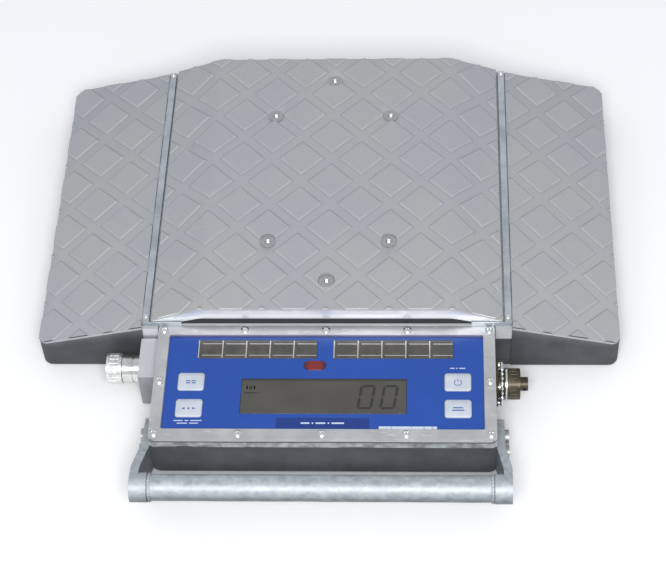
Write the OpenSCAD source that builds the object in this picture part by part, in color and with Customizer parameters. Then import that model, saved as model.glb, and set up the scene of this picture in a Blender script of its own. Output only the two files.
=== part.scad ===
// Portable wheel load scale: a low weighing platform between two fixed ramps, with an
// indicator box and a carrying handle at the front. Millimetres, +Z up. The origin is the
// centre of the platform at ground level, X is the wheel's way over the scale and the
// indicator and handle are on the -Y side. Every fit hangs on the sizes named here.

/* [Platform] */
// Width of the weighing platform along X
deck_w = 345; // [280:1:420]
// Depth of the weighing platform along Y
deck_d = 341; // [280:1:420]
// Height of the tread's floor above the ground at the crown
deck_h = 83.6; // [74:0.1:101]
// Thickness of the platform at the crown
deck_t = 13.6; // [11:0.1:17]
// Width of the flat crown; the rest slopes down to the side rails
deck_flat_w = 248; // [200:1:300]
// Thickness of the platform's sloped edges at the side rails
deck_edge_t = 3.8; // [3:0.1:6]
// Pitch of the diamond tread, corner to corner
tread_pitch = 61.6; // [45:0.1:75]
// Raised pad's diagonal as a share of the pitch
tread_share = 0.77; // [0.6:0.01:0.85]
// Height of the raised tread pads
tread_h = 1.5; // [1:0.1:2.5]

// Distance between the two screws of a triad that lie side by side
triad_w = 121; // [100:1:145]
// Depth of a triad of screws along Y
triad_d = 50.5; // [42:0.5:58]
// Distance from the platform's edge to a triad's outer screw
triad_edge = 34.5; // [30:0.5:42]

/* [Ramps] */
// Length of each ramp along X
ramp_len = 106.5; // [85:0.5:130]
// Height of a ramp's outer edge
ramp_edge_h = 36.5; // [28:0.5:44]
// Wall of the hollow ramp casting
ramp_wall = 8; // [6:0.5:10]
// Radius of the ramps' outer corners
ramp_corner_r = 10; // [5:1:15]

/* [Base] */
// Height of the base frame's rim
base_h = 60; // [54:0.5:66]
// Wall of the base frame, wide enough for a rail and the seal
base_wall = 14; // [12:0.5:17]
// Thickness of the base frame's floor
floor_t = 8; // [6:0.5:10]
// Height of the castings above the ground, set by the rubber feet
ground_gap = 2; // [1.5:0.1:3]
// Width of a side rail
rail_w = 6.5; // [5:0.1:8]
// Height of a side rail above the rim
rail_h = 5.1; // [4:0.1:6]
// Length of a side rail's lip along the front
rail_lip = 39; // [20:1:60]

/* [Indicator] */
// Width of the indicator's bezel along X
panel_w = 329; // [300:1:395]
// Depth of the indicator's bezel along Y
panel_d = 134; // [128:1:161]
// Height of the bezel's top face
panel_h = 59.7; // [55:0.1:64]
// Thickness of the bezel frame
bezel_t = 3; // [2:0.1:4]
// Width of the bezel frame
bezel_rim = 11.6; // [11:0.1:14]
// Thickness of the housing's lower walls
house_wall = 8; // [6:0.5:9.5]
// Width of the display window
lcd_w = 158.4; // [130:0.1:170]
// Depth of the display window
lcd_d = 40.5; // [34:0.1:44]
// Width of one solar strip
solar_w = 116; // [90:1:120]
// Depth of one solar strip
solar_d = 21.8; // [16:0.1:23]
// Width of a key
key_w = 25.6; // [20:0.1:28]
// Depth of a key
key_d = 20.6; // [16:0.1:22]
// Travel of a key
key_travel = 0.7; // [0.5:0.1:0.8]

/* [Handle] */
// Diameter of the handle's tube
handle_od = 25.4; // [21:0.1:30.5]
// Height of the tube's axis
handle_h = 45.6; // [38:0.1:52]
// Finger gap between the housing's rim and the tube
finger_gap = 32; // [28:0.5:45]
// Thickness of a handle arm
arm_t = 8; // [6:0.5:10]

/* [Ports] */
// Diameter of the charging port's body
port_od = 27.5; // [24:0.1:33]
// Diameter of the data connector's dust cap
dust_od = 30.5; // [26:0.1:34]
// Width of the block that carries the charging port
block_w = 18.5; // [15:0.5:22]
// Lead of the cap threads, the rise in one turn
cap_lead = 2; // [1.5:0.1:3]

/* [Fits] */
// Gap below the platform that its travel uses
deck_gap = 0.8; // [0.6:0.1:1.2]
// Gap between the platform's edge and a side rail
rail_gap = 2; // [1.5:0.1:3]
// Gap around each piece that drops into the panel
trim_gap = 0.25; // [0.15:0.05:0.4]
// Radial gap between a cap and its thread
cap_gap = 0.3; // [0.2:0.05:0.5]
// Clearance round a screw's shank in a loose hole
screw_gap = 0.3; // [0.1:0.05:0.5]

/* [Hidden] */
$fn = 48;
cut = 1;

// platform and base, from the middle out
hx = deck_w / 2;
hy = deck_d / 2;
flat_x = deck_flat_w / 2;
deck_under = deck_h - deck_t;
deck_edge_z = base_h + deck_gap + 1.4;
slope_x = flat_x - 4;
pad_diag = tread_pitch * tread_share;
pad_x0 = tread_pitch / 2;
pad_y0 = 111.6 - pad_diag / 2;
rail_in = hx + rail_gap;
rail_out = rail_in + rail_w;
base_x = rail_out + 0.5;
front_y = -(hy + 0.5);
ear_y = front_y - 5;
rear_y = hy + 2;
floor_z = ground_gap + floor_t;
cav_x = base_x - base_wall;
cav_y0 = front_y + base_wall;
cav_y1 = rear_y - base_wall;
ramp_out = base_x + ramp_len;
ramp_in_h = base_h + 2;
ramp_y0 = ear_y - 1.5;
ramp_y1 = rear_y - 2.5;
ramp_bays = 4;

// screws through the platform and the cells below them
deck_screw_x = triad_w / 2;
deck_screw_out = hy - triad_edge;
deck_screw_in = deck_screw_out - triad_d;
deck_screw_cy = 1;
m8 = 8;
spread_t = 10;
cell_y = (2 * deck_screw_in + deck_screw_out) / 3;
cell_r = 42;
cell_flange_r = 50;
cell_bolt_r = 45;
cell_top = floor_z + 38;
button_r = 12;
cup_depth = 6;
cable_r = 3;
cable_x = cell_flange_r + 10;
cable_z = floor_z + 20;
gland_len = 10;
stop_x = flat_x - 20;
stop_y = hy - 31;
stop_r = 11;
stop_head = 8;
stop_top = deck_under - deck_gap;
stop_pillar_z = stop_top - stop_head;
foot_r = 16;
foot_sink = 3;
foot_x = [-cav_x + 22, 0, cav_x - 22];
foot_y = [-hy + 30, 0, hy - 30];
ramp_bolt_y = [51 - hy, 0, hy - 51];
ramp_bolt_z = floor_z + 12;
m10 = 10;

// indicator, from the panel down
px = panel_w / 2;
panel_y1 = front_y;
panel_y0 = front_y - panel_d;
pcy = (panel_y0 + panel_y1) / 2;
plate_top = panel_h - bezel_t;
plate_t = 2;
plate_z = plate_top - plate_t;
overlay_t = 0.6;
gasket_t = 1.5;
rim_z = plate_z - gasket_t;
lip_h = 7.2;
lip_out = 1.5;
win_x = px - bezel_rim + 0.3;
win_y = panel_d / 2 - bezel_rim - 0.2;
screw_x = px - 5.4;
screw_y = panel_d / 2 - 6.2;
house_z = ground_gap;
house_floor = house_z + 5;
step_z = rim_z - 14;
cav_top_x = px - 11;
cav_top_y1 = panel_y1 - 10;
cav_top_y0 = panel_y0 + 12;
m4 = 4;
bolt_x = [25 - px, -25, 25, px - 25];
bolt_z = house_floor + 15;
flange_w = 1.3;
flange_h = 1.2;
solar_x = solar_w / 2 + 8;
solar_y = pcy + win_y - 15.9;
ir_w = 21.2;
ir_d = 10.9;
ir_x = -9.5;
ir_y = solar_y - solar_d / 2 - 8.3;
lcd_y = ir_y - ir_d / 2 - 10.2 - lcd_d / 2;
lcd_module_t = 6;
key_x = win_x - 25;
key_y = [pcy + 0.4, pcy - 30.3];
key_top = plate_top + 2.3;
key_flange_t = 1.6;
key_flange_z = plate_z - 0.2 - key_flange_t;
switch_top = key_flange_z - key_travel - 0.1;
switch_h = 3.5;
switch_w = 6;
key_board_t = 1.6;
key_board_z = switch_top - switch_h - key_board_t;
key_board_w = key_w + 14;
key_board_d = key_y[0] - key_y[1] + key_d + 15;
key_board_y = (key_y[0] + key_y[1]) / 2;
standoff_r = 2;

// inside the housing
board_w = panel_w - 79;
board_d = panel_d - 50;
board_t = 1.6;
parts_h = 8;
board_z = plate_z - flange_h - lcd_module_t - 2 - parts_h - board_t;
post_r = 3;
post_x = board_w / 2 - 8;
post_y = board_d / 2 - 6;
batt_w = 110;
batt_d = 62;
batt_h = 20;
door_w = batt_w + 14;
door_d = batt_d + 14;
door_t = 3;
door_screw_x = door_w / 2 - 3.5;
door_screw_y = door_d / 2 - 3.5;

// handle
grip_y = panel_y0 - finger_gap - handle_od / 2;
collar_r = handle_od / 2 + 1.3;
arm_in = px;
arm_splay = 5.3;
arm_out = arm_in + arm_t + arm_splay;
collar_in = arm_out - 16.3;
arm_rear_y = panel_y0 + 41;
arm_bolt_y = [panel_y0 + 13, panel_y0 + 30];
arm_bolt_z = house_floor + 13;
weld_w = 2.6;

// ports
block_x = px + block_w;
block_y1 = ramp_y0 - 0.8;
block_y0 = block_y1 - 47;
block_h = rim_z - 5.8;
block_bolt_z = block_h - 7.4;
port_y = (block_y0 + block_y1) / 2 + 1.5;
port_z = block_h - 19.9;
port_len = 18;
spigot_r = port_od / 2 - 2.8;
spigot_len = 11;
cap_or = port_od / 2 + 1;
cap_len = 15;
dust_y = panel_y1 - 49;
dust_z = (ground_gap + rim_z) / 2 + 2.4;
dust_r = dust_od / 2;
neck_x = px + 3;
neck_len = 5.5;
cap_x = neck_x + neck_len + 0.5;
dust_len = 15.2;
dust_screw_h = 1.8;
dust_spigot_r = dust_r - 3;
dust_spigot_len = 11;
knob_r = 6.75;
knob_len = 7.8;
flange_s = 34;
chain_r = dust_r + 4;
bead_r = 1.6;
chain_x = neck_x + 3.4;
chain_a0 = 140;
chain_a1 = -84;
chain_n = 17;

function sgn(v) = v < 0 ? -1 : 1;

// ---- shared shapes -------------------------------------------------------------------

// box from one corner to the other
module span(x0, x1, y0, y1, z0, z1) {
  translate([x0, y0, z0]) cube([x1 - x0, y1 - y0, z1 - z0]);
}

// upright box with round corners, centred on x and y
module slab(w, d, r, h) {
  translate([-w / 2, -d / 2 + r, 0]) cube([w, d - 2 * r, h]);
  translate([-w / 2 + r, -d / 2, 0]) cube([w - 2 * r, d, h]);
  for (sx = [-1, 1], sy = [-1, 1])
    translate([sx * (w / 2 - r), sy * (d / 2 - r), 0]) cylinder(r = r, h = h);
}

// round bar along X from x0 to x1
module bar_x(r, x0, x1, y, z) {
  translate([x0, y, z]) rotate([0, 90, 0]) cylinder(r = r, h = x1 - x0);
}

// round bar along Y from y0 to y1
module bar_y(r, x, y0, y1, z) {
  translate([x, y1, z]) rotate([90, 0, 0]) cylinder(r = r, h = y1 - y0);
}

// a profile drawn in X and Z, drawn out along Y
module profile_y(pts, y0, y1) {
  translate([0, y1, 0]) rotate([90, 0, 0]) linear_extrude(y1 - y0) polygon(pts);
}

// socket screw: head up, its seat at z = 0, shank down
module socket_screw(r, len, head_r, head_h, key) {
  difference() {
    union() {
      cylinder(r = head_r, h = head_h);
      translate([0, 0, -len]) cylinder(r = r, h = len);
    }
    translate([0, 0, head_h * 0.45]) cylinder(r = key, h = head_h, $fn = 6);
  }
}

// flat-head screw: top of the head at z = 0
module flat_screw(r, len, head_r, key) {
  difference() {
    union() {
      translate([0, 0, r - head_r]) cylinder(r1 = r, r2 = head_r, h = head_r - r);
      translate([0, 0, -len]) cylinder(r = r, h = len);
    }
    translate([0, 0, -(head_r - r) * 0.7]) cylinder(r = key, h = head_r, $fn = 6);
  }
}

// the crowned outline in X and Z, lifted by up
function crown(up) = [[-hx, deck_edge_z], [-hx, deck_edge_z + deck_edge_t + up],
  [-flat_x, deck_h + up], [flat_x, deck_h + up], [hx, deck_edge_z + deck_edge_t + up],
  [hx, deck_edge_z]];

// the crown's underside, from z = low up to it, lowered by down
function belly(low, down) = [[-hx - cut, low], [-hx - cut, deck_edge_z - down],
  [-slope_x - 30, deck_edge_z - down], [-slope_x, deck_under - down],
  [slope_x, deck_under - down], [slope_x + 30, deck_edge_z - down],
  [hx + cut, deck_edge_z - down], [hx + cut, low]];

// the field of diamond pads as upright posts
module pad_posts(x_min, x_max, y_min, y_max, z0, z1) {
  for (i = [-6:6], j = [-4:4], k = [0, 1]) {
    x = pad_x0 + i * tread_pitch + k * tread_pitch / 2;
    y = pad_y0 + (j - 2) * tread_pitch - k * tread_pitch / 2;
    if (x > x_min && x < x_max && y > y_min && y < y_max)
      translate([x, y, z0]) cylinder(d = pad_diag, h = z1 - z0, $fn = 4);
  }
}

// where the platform's screws go
module at_deck_screws(side) {
  y0 = deck_screw_cy;
  translate([0, y0 + side * deck_screw_out, 0]) children();
  for (sx = [-1, 1]) translate([sx * deck_screw_x, y0 + side * deck_screw_in, 0]) children();
}

// where the bezel's screws go
module at_bezel_screws() {
  for (i = [-2:2], sy = [-1, 1]) translate([i * screw_x / 2, pcy + sy * screw_y, 0]) children();
  for (sx = [-1, 1]) translate([sx * screw_x, pcy, 0]) children();
}

// ---- base ----------------------------------------------------------------------------

// cast base frame: floor, rim, pillars for the overload stops
module base_frame() {
  color("silver") difference() {
    union() {
      difference() {
        span(-base_x, base_x, front_y, rear_y, ground_gap, base_h);
        span(-cav_x, cav_x, cav_y0, cav_y1, floor_z, base_h + cut);
      }
      for (s = [-1, 1])
        span(min(s * (px + 1), s * base_x), max(s * (px + 1), s * base_x),
             ear_y, front_y + cut, ground_gap, base_h);
      for (sx = [-1, 1], sy = [-1, 1]) translate([sx * stop_x, sy * stop_y, floor_z - cut])
        cylinder(r = stop_r, h = stop_pillar_z - floor_z + cut);
    }
    for (sx = [-1, 1], sy = [-1, 1]) translate([sx * stop_x, sy * stop_y, stop_pillar_z - 18])
      cylinder(d = m10, h = 18 + cut);
    for (s = [-1, 1]) bar_y(cable_r + 1, s * cable_x, front_y - cut, cav_y0 + cut, cable_z);
    for (x = bolt_x) bar_y(m8 / 2, x, front_y - cut, front_y + 11, bolt_z);
    for (s = [-1, 1], y = ramp_bolt_y)
      bar_x(m10 / 2, s < 0 ? -base_x - cut : base_x - 11, s < 0 ? -base_x + 11 : base_x + cut,
            y, ramp_bolt_z);
    for (s = [-1, 1], a = [45:90:315])
      translate([cell_bolt_r * cos(a), deck_screw_cy + s * cell_y + cell_bolt_r * sin(a),
                 floor_z - 6]) cylinder(d = m8, h = 6 + cut);
    for (x = foot_x, y = foot_y) translate([x, y, ground_gap - cut])
      cylinder(r = foot_r, h = foot_sink + cut);
    for (s = [-1, 1], y = [front_y + 5, rear_y - 9])
      translate([s * (rail_in + rail_w / 2), y, base_h - 8]) cylinder(d = m4, h = 8 + cut);
  }
}

// rubber feet let into the base frame
module base_feet() {
  color("dimgray") for (x = foot_x, y = foot_y) translate([x, y, 0]) difference() {
    cylinder(r = foot_r, h = ground_gap + foot_sink);
    translate([0, 0, -cut]) difference() {
      cylinder(r = foot_r * 0.7, h = cut + ground_gap / 2);
      cylinder(r = foot_r * 0.55, h = cut + ground_gap);
    }
  }
}

// one hollow ramp casting; side is -1 on the left and 1 on the right
module ramp(side) {
  body = [[side * base_x, ground_gap], [side * base_x, ramp_in_h],
    [side * ramp_out, ramp_edge_h], [side * ramp_out, ground_gap]];
  lifted = [[side * base_x, ramp_in_h - cut], [side * base_x, ramp_in_h + tread_h],
    [side * ramp_out, ramp_edge_h + tread_h], [side * ramp_out, ramp_edge_h - cut]];
  drop = (ramp_in_h - ramp_edge_h) / ramp_len;
  x_in = base_x + ramp_wall;
  x_out = ramp_out - ramp_wall;
  roof = ramp_wall + 1;
  hollow = [[side * x_in, -cut], [side * x_in, ramp_in_h - roof - drop * ramp_wall],
    [side * x_out, ramp_in_h - roof - drop * (ramp_len - ramp_wall)], [side * x_out, -cut]];
  bay = (ramp_y1 - ramp_y0 - ramp_wall) / ramp_bays;
  mid_y = (ramp_y0 + ramp_y1) / 2;
  difference() {
    intersection() {
      union() {
        profile_y(body, ramp_y0, ramp_y1);
        intersection() {
          profile_y(lifted, ramp_y0 + 4, ramp_y1 - 4);
          if (side < 0)
            pad_posts(-ramp_out + 8, -base_x + 8, ramp_y0, ramp_y1, ramp_edge_h - cut, deck_h);
          else
            pad_posts(base_x - 8, ramp_out - 8, ramp_y0, ramp_y1, ramp_edge_h - cut, deck_h);
        }
      }
      translate([0, mid_y, 0]) slab(2 * ramp_out, ramp_y1 - ramp_y0, ramp_corner_r, deck_h);
    }
    for (i = [0:ramp_bays - 1])
      profile_y(hollow, ramp_y0 + ramp_wall + i * bay, ramp_y0 + (i + 1) * bay);
    for (y = ramp_bolt_y)
      bar_x(m10 / 2 + screw_gap, side < 0 ? -x_in - cut : base_x - cut,
            side < 0 ? -base_x + cut : x_in + cut, y, ramp_bolt_z);
    for (y = ramp_bolt_y) bar_x(m10, side < 0 ? -x_in - 12 : x_in, side < 0 ? -x_in : x_in + 12,
                                y, ramp_bolt_z);
  }
}
module ramp_left() { color("silver") ramp(-1); }
module ramp_right() { color("silver") ramp(1); }

// rubber strips under the ramps' walls
module ramp_feet() {
  color("dimgray") for (s = [-1, 1], x = [base_x + ramp_wall / 2, ramp_out - ramp_wall / 2])
    translate([s * x, (ramp_y0 + ramp_y1) / 2, 0])
      slab(ramp_wall - 1, ramp_y1 - ramp_y0 - 4 * ramp_corner_r, 2, ground_gap);
}

// bolts that hold the ramps, put in from the ramps' hollow
module ramp_bolts() {
  color("gray") for (s = [-1, 1], y = ramp_bolt_y)
    translate([s * (base_x + ramp_wall), y, ramp_bolt_z]) rotate([0, s * 90, 0])
      socket_screw(m10 / 2, ramp_wall + 9, 8, 8, 4.6);
}

// rubber seal on the rim, just clear of the platform
module perimeter_seal() {
  seal_w = 5;
  color("dimgray") intersection() {
    difference() {
      span(-hx + 1, hx - 1, front_y + 2, hy - 1, base_h, deck_h);
      span(-hx + 1 + seal_w, hx - 1 - seal_w, front_y + 2 + seal_w, hy - 1 - seal_w,
           base_h - cut, deck_h + cut);
    }
    profile_y(belly(base_h - cut, deck_gap), -hy - 5, hy + 5);
  }
}

// one side rail with its lip along the front
module rail(side) {
  y0 = front_y - 1.4;
  y1 = rear_y - 4;
  difference() {
    union() {
      span(min(side * rail_in, side * rail_out), max(side * rail_in, side * rail_out),
           y0, y1, base_h, base_h + rail_h);
      span(min(side * (rail_out - rail_lip), side * rail_out),
           max(side * (rail_out - rail_lip), side * rail_out),
           y0, y0 + 1.2, base_h, base_h + rail_h);
    }
    for (y = [front_y + 5, rear_y - 9]) translate([side * (rail_in + rail_w / 2), y, 0]) {
      translate([0, 0, base_h - cut]) cylinder(d = m4 + 0.4, h = rail_h + 2 * cut);
      translate([0, 0, base_h + rail_h - 1.6]) cylinder(r1 = m4 / 2, r2 = 3.2 + cut, h = 1.6 + cut);
    }
  }
}
module rail_left() { color("lightsteelblue") rail(-1); }
module rail_right() { color("lightsteelblue") rail(1); }

// small screws at the rails' ends
module rail_screws() {
  color("gray") for (s = [-1, 1], y = [front_y + 5, rear_y - 9])
    translate([s * (rail_in + rail_w / 2), y, base_h + rail_h - 0.2]) flat_screw(m4 / 2, 10, 3, 1.2);
}

// ---- weighing platform ---------------------------------------------------------------

// crowned platform with its raised diamond tread
module deck() {
  color("silver") difference() {
    union() {
      profile_y(crown(0), -hy, hy);
      intersection() {
        profile_y(crown(tread_h), -hy + 4, hy - 4);
        pad_posts(-hx, hx, -hy, hy, deck_edge_z + 1, deck_h + 2 * tread_h);
      }
    }
    profile_y(belly(0, 0), -hy - cut, hy + cut);
    for (s = [-1, 1]) at_deck_screws(s) {
      cylinder(d = m8 + 2 * screw_gap, h = deck_h + 2 * tread_h);
      translate([0, 0, deck_h - 4.4]) cylinder(r1 = m8 / 2, r2 = m8 + 0.4, h = 4.4);
      translate([0, 0, deck_h]) cylinder(r = m8 + 0.4, h = 2 * tread_h);
    }
  }
}

// flat-head screws through the platform into the spreaders
module deck_screws() {
  color("white") for (s = [-1, 1]) at_deck_screws(s)
    translate([0, 0, deck_h]) flat_screw(m8 / 2, deck_t + spread_t - 2, m8, 2.9);
}

// spreader under the platform that stands on one cell's button
module spreader(side) {
  y_in = deck_screw_cy + side * deck_screw_in;
  y_out = deck_screw_cy + side * deck_screw_out;
  cy = deck_screw_cy + side * cell_y;
  z0 = deck_under - spread_t;
  difference() {
    union() {
      span(-deck_screw_x, deck_screw_x, y_in - 15, y_in + 15, z0, deck_under);
      span(-15, 15, min(y_in, y_out), max(y_in, y_out), z0, deck_under);
      at_deck_screws(side) translate([0, 0, z0]) cylinder(r = 15, h = spread_t);
      translate([0, cy, cell_top - cup_depth + deck_gap])
        cylinder(r = button_r, h = z0 - cell_top + cup_depth - deck_gap + cut);
    }
    at_deck_screws(side) translate([0, 0, z0 + 2]) cylinder(d = m8, h = spread_t);
  }
}
module spreader_front() { color("gray") spreader(-1); }
module spreader_rear() { color("gray") spreader(1); }

// load cell: flanged can with a cup for the spreader's button and a cable gland
module cell(side) {
  cy = deck_screw_cy + side * cell_y;
  difference() {
    union() {
      translate([0, cy, floor_z]) cylinder(r = cell_flange_r, h = 10);
      translate([0, cy, floor_z]) cylinder(r = cell_r, h = cell_top - floor_z);
      if (side < 0) bar_x(5, cell_r - 3, cell_r - 3 + gland_len, cy, cable_z);
      else bar_x(5, -cell_r + 3 - gland_len, -cell_r + 3, cy, cable_z);
    }
    translate([0, cy, cell_top - cup_depth]) cylinder(r = button_r + 1, h = cup_depth + cut);
    for (a = [45:90:315]) translate([cell_bolt_r * cos(a), cy + cell_bolt_r * sin(a), 0]) {
      translate([0, 0, floor_z - cut]) cylinder(d = m8 + 2 * screw_gap, h = 12);
      translate([0, 0, floor_z + 10]) cylinder(r = 7.5, h = cell_top);
    }
  }
}
module cell_front() { color("silver") cell(-1); }
module cell_rear() { color("silver") cell(1); }

// screws that hold the cells to the floor
module cell_screws() {
  color("gray") for (s = [-1, 1], a = [45:90:315])
    translate([cell_bolt_r * cos(a), deck_screw_cy + s * cell_y + cell_bolt_r * sin(a),
               floor_z + 10]) socket_screw(m8 / 2, 15, 6.5, 8, 3.4);
}

// overload stops just under the platform
module stop_screws() {
  color("gray") for (sx = [-1, 1], sy = [-1, 1])
    translate([sx * stop_x, sy * stop_y, stop_pillar_z]) {
      cylinder(r = 9, h = stop_head, $fn = 6);
      translate([0, 0, -17]) cylinder(d = m10, h = 17);
    }
}

// signal cables from the cells, through the base's front wall, to the main board
module cell_cables() {
  gx = cell_r - 3 + gland_len;
  y_end = cav_top_y1 - 12;
  board_end = cable_z < board_z ? board_z : board_z + board_t;
  color("dimgray") for (s = [-1, 1]) {
    cy = deck_screw_cy + s * cell_y;
    bar_x(cable_r, s < 0 ? gx : -cable_x, s < 0 ? cable_x : -gx, cy, cable_z);
    translate([-s * cable_x, cy, cable_z]) sphere(r = cable_r + 0.6);
    bar_y(cable_r, -s * cable_x, y_end, cy, cable_z);
    translate([-s * cable_x, y_end, cable_z]) sphere(r = cable_r + 0.6);
    translate([-s * cable_x, y_end, min(cable_z, board_end)])
      cylinder(r = cable_r, h = abs(board_end - cable_z));
  }
}

// ---- indicator -----------------------------------------------------------------------

// cast housing with a rim for the gasket and a recess for the battery door
module housing() {
  fr = 8;
  y_low = panel_y0 + lip_out;
  color("gray") difference() {
    union() {
      difference() {
        span(-px, px, y_low, panel_y1, house_z, rim_z);
        for (s = [-1, 1]) translate([s * px, 0, house_z]) difference() {
          span(-fr, fr, panel_y0 - cut, panel_y1 + cut, -fr, fr);
          translate([-s * fr, 0, fr]) rotate([90, 0, 0]) translate([0, 0, -panel_y1 - 2 * cut])
            cylinder(r = fr, h = panel_d + 4 * cut);
        }
      }
      translate([0, pcy, rim_z - lip_h]) slab(panel_w, panel_d, 5, lip_h);
      for (sx = [-1, 1], sy = [-1, 1]) translate([sx * post_x, pcy + sy * post_y, house_floor - cut])
        cylinder(r = post_r + 2, h = 6);
    }
    difference() {
      span(-px + house_wall + 1.5, px - house_wall - 1.5, y_low + house_wall, panel_y1 - house_wall,
           house_floor, step_z);
      for (sx = [-1, 1], sy = [-1, 1]) translate([sx * post_x, pcy + sy * post_y, house_z])
        cylinder(r = post_r + 2, h = house_floor - house_z + 5);
    }
    span(-cav_top_x, cav_top_x, cav_top_y0, cav_top_y1, step_z - cut / 2, rim_z + cut);
    at_bezel_screws() translate([0, 0, rim_z - 12]) cylinder(d = m4, h = 12 + cut);
    for (x = bolt_x) bar_y(m8 / 2 + screw_gap, x, panel_y1 - house_wall - cut, panel_y1 + cut, bolt_z);
    for (s = [-1, 1]) bar_y(cable_r + 1, s * cable_x, cav_top_y1 - cut, panel_y1 + cut, cable_z);
    translate([0, pcy, house_z - cut]) slab(door_w + 2 * trim_gap, door_d + 2 * trim_gap, 3,
                                            door_t + cut);
    translate([0, pcy, house_z]) slab(batt_w + 2, batt_d + 2, 2, house_floor);
    for (sx = [-1, 1], sy = [-1, 1])
      translate([sx * door_screw_x, pcy + sy * door_screw_y, house_z])
        cylinder(r = 1.5, h = house_floor);
    for (s = [-1, 1], y = arm_bolt_y)
      bar_x(m8 / 2, s < 0 ? -px - cut : px - 9, s < 0 ? -px + 9 : px + cut, y, arm_bolt_z);
    for (y = [port_y - 17, port_y + 17]) bar_x(m4 / 2 + 0.5, -px - cut, -px + 9, y, block_bolt_z);
    bar_x(6, px - house_wall - 3, px + cut, dust_y, dust_z);
    bar_x(6, -px - cut, -px + house_wall + 3, port_y, port_z);
    for (sy = [-1, 1], sz = [-1, 1])
      bar_x(1.5, px - 6, px + cut, dust_y + sy * (flange_s / 2 - 4), dust_z + sz * (flange_s / 2 - 4));
  }
}

// bolts from inside the housing into the base frame
module housing_bolts() {
  color("gray") for (x = bolt_x) translate([x, panel_y1 - house_wall, bolt_z]) rotate([90, 0, 0])
    socket_screw(m8 / 2, house_wall + 10, 6.5, 8, 3.4);
}

// plate under the battery, let into the housing's floor
module battery_door() {
  color("gray") difference() {
    translate([0, pcy, house_z]) slab(door_w, door_d, 3, door_t);
    for (sx = [-1, 1], sy = [-1, 1]) translate([sx * door_screw_x, pcy + sy * door_screw_y, 0]) {
      cylinder(r = 1.5 + screw_gap, h = house_floor);
      translate([0, 0, house_z - 0.01]) cylinder(r1 = 3.1, r2 = 1.5, h = 1.6);
    }
  }
}

// countersunk screws that hold the battery door
module door_screws() {
  color("white") for (sx = [-1, 1], sy = [-1, 1])
    translate([sx * door_screw_x, pcy + sy * door_screw_y, house_z]) mirror([0, 0, 1])
      flat_screw(1.5, 4.8, 2.8, 1.1);
}

// rechargeable battery standing on its door
module battery_pack() {
  color("royalblue") translate([0, pcy, house_z + door_t]) slab(batt_w, batt_d, 3, batt_h);
}

// hexagonal posts between the floor and the main board
module board_posts() {
  z0 = house_floor + 5;
  color("goldenrod") for (sx = [-1, 1], sy = [-1, 1])
    translate([sx * post_x, pcy + sy * post_y, z0])
      cylinder(r = post_r, h = board_z - z0, $fn = 6);
}

// main circuit board
module main_board() {
  color("green") translate([0, pcy, board_z]) slab(board_w, board_d, 2, board_t);
}

// chips, sockets and capacitors on the main board
module board_parts() {
  z = board_z + board_t;
  color("black") {
    for (x = [-80, -20, 45]) span(x, x + 14, pcy - 7, pcy + 7, z, z + 2);
    for (x = [-105, 20, 90]) span(x, x + 16, pcy + 22, pcy + 30, z, z + 5);
    for (x = [-55, 0, 70]) translate([x, pcy - 26, z]) cylinder(r = 4, h = parts_h);
    for (i = [0:7]) span(-100 + i * 9, -97 + i * 9, pcy - 16, pcy - 14, z, z + 1);
  }
}

// gasket between the housing's rim and the panel
module panel_gasket() {
  color("black") translate([0, 0, rim_z]) difference() {
    translate([0, pcy, 0]) slab(panel_w - 1, panel_d - 1, 5, gasket_t);
    span(-cav_top_x, cav_top_x, cav_top_y0, cav_top_y1, -cut, gasket_t + cut);
    at_bezel_screws() translate([0, 0, -cut]) cylinder(d = m4 + 0.4, h = gasket_t + 2 * cut);
  }
}

// every window and key hole in the panel, grown by g on each side
module panel_cuts(g, z0, z1) {
  for (s = [-1, 1]) translate([s * solar_x, solar_y, z0])
    slab(solar_w + 2 * g, solar_d + 2 * g, 1, z1 - z0);
  translate([ir_x, ir_y, z0]) slab(ir_w + 2 * g, ir_d + 2 * g, ir_d / 2 - 0.01 + g, z1 - z0);
  translate([0, lcd_y, z0]) slab(lcd_w + 2 * g, lcd_d + 2 * g, 1.5, z1 - z0);
  for (s = [-1, 1], y = key_y) translate([s * key_x, y, z0])
    slab(key_w + 2 * g, key_d + 2 * g, 3, z1 - z0);
}

// plate that carries the windows and keys
module panel_plate() {
  color("lightgray") difference() {
    translate([0, pcy, plate_z]) slab(panel_w - 1, panel_d - 1, 5, plate_t);
    panel_cuts(trim_gap, plate_z - cut, plate_top + cut);
    at_bezel_screws() translate([0, 0, plate_z - cut]) cylinder(d = m4 + 0.4, h = plate_t + 2 * cut);
  }
}

// printed plastic overlay inside the bezel
module overlay() {
  color("royalblue") difference() {
    translate([0, pcy, plate_top])
      slab(2 * (win_x - trim_gap), 2 * (win_y - trim_gap), 2, overlay_t);
    panel_cuts(trim_gap, plate_top - cut, plate_top + overlay_t + cut);
  }
}

// bezel frame
module bezel() {
  color("lightgray") difference() {
    translate([0, pcy, plate_top]) slab(panel_w, panel_d, 5, bezel_t);
    translate([0, pcy, plate_top - cut]) slab(2 * win_x, 2 * win_y, 2, bezel_t + 2 * cut);
    at_bezel_screws() translate([0, 0, plate_top - cut]) cylinder(d = m4 + 0.4, h = bezel_t + 2 * cut);
  }
}

// round-head screws of the bezel
module bezel_screws() {
  hr = 4;
  hh = 2.4;
  color("white") at_bezel_screws() translate([0, 0, panel_h]) difference() {
    union() {
      intersection() {
        translate([0, 0, hh - 6]) sphere(r = 6);
        cylinder(r = hr, h = hh);
      }
      translate([0, 0, -15]) cylinder(d = m4, h = 15 + cut / 2);
    }
    for (a = [45, 135]) rotate([0, 0, a]) translate([-2.2, -0.45, hh - 1.4]) cube([4.4, 0.9, 2]);
  }
}

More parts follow.
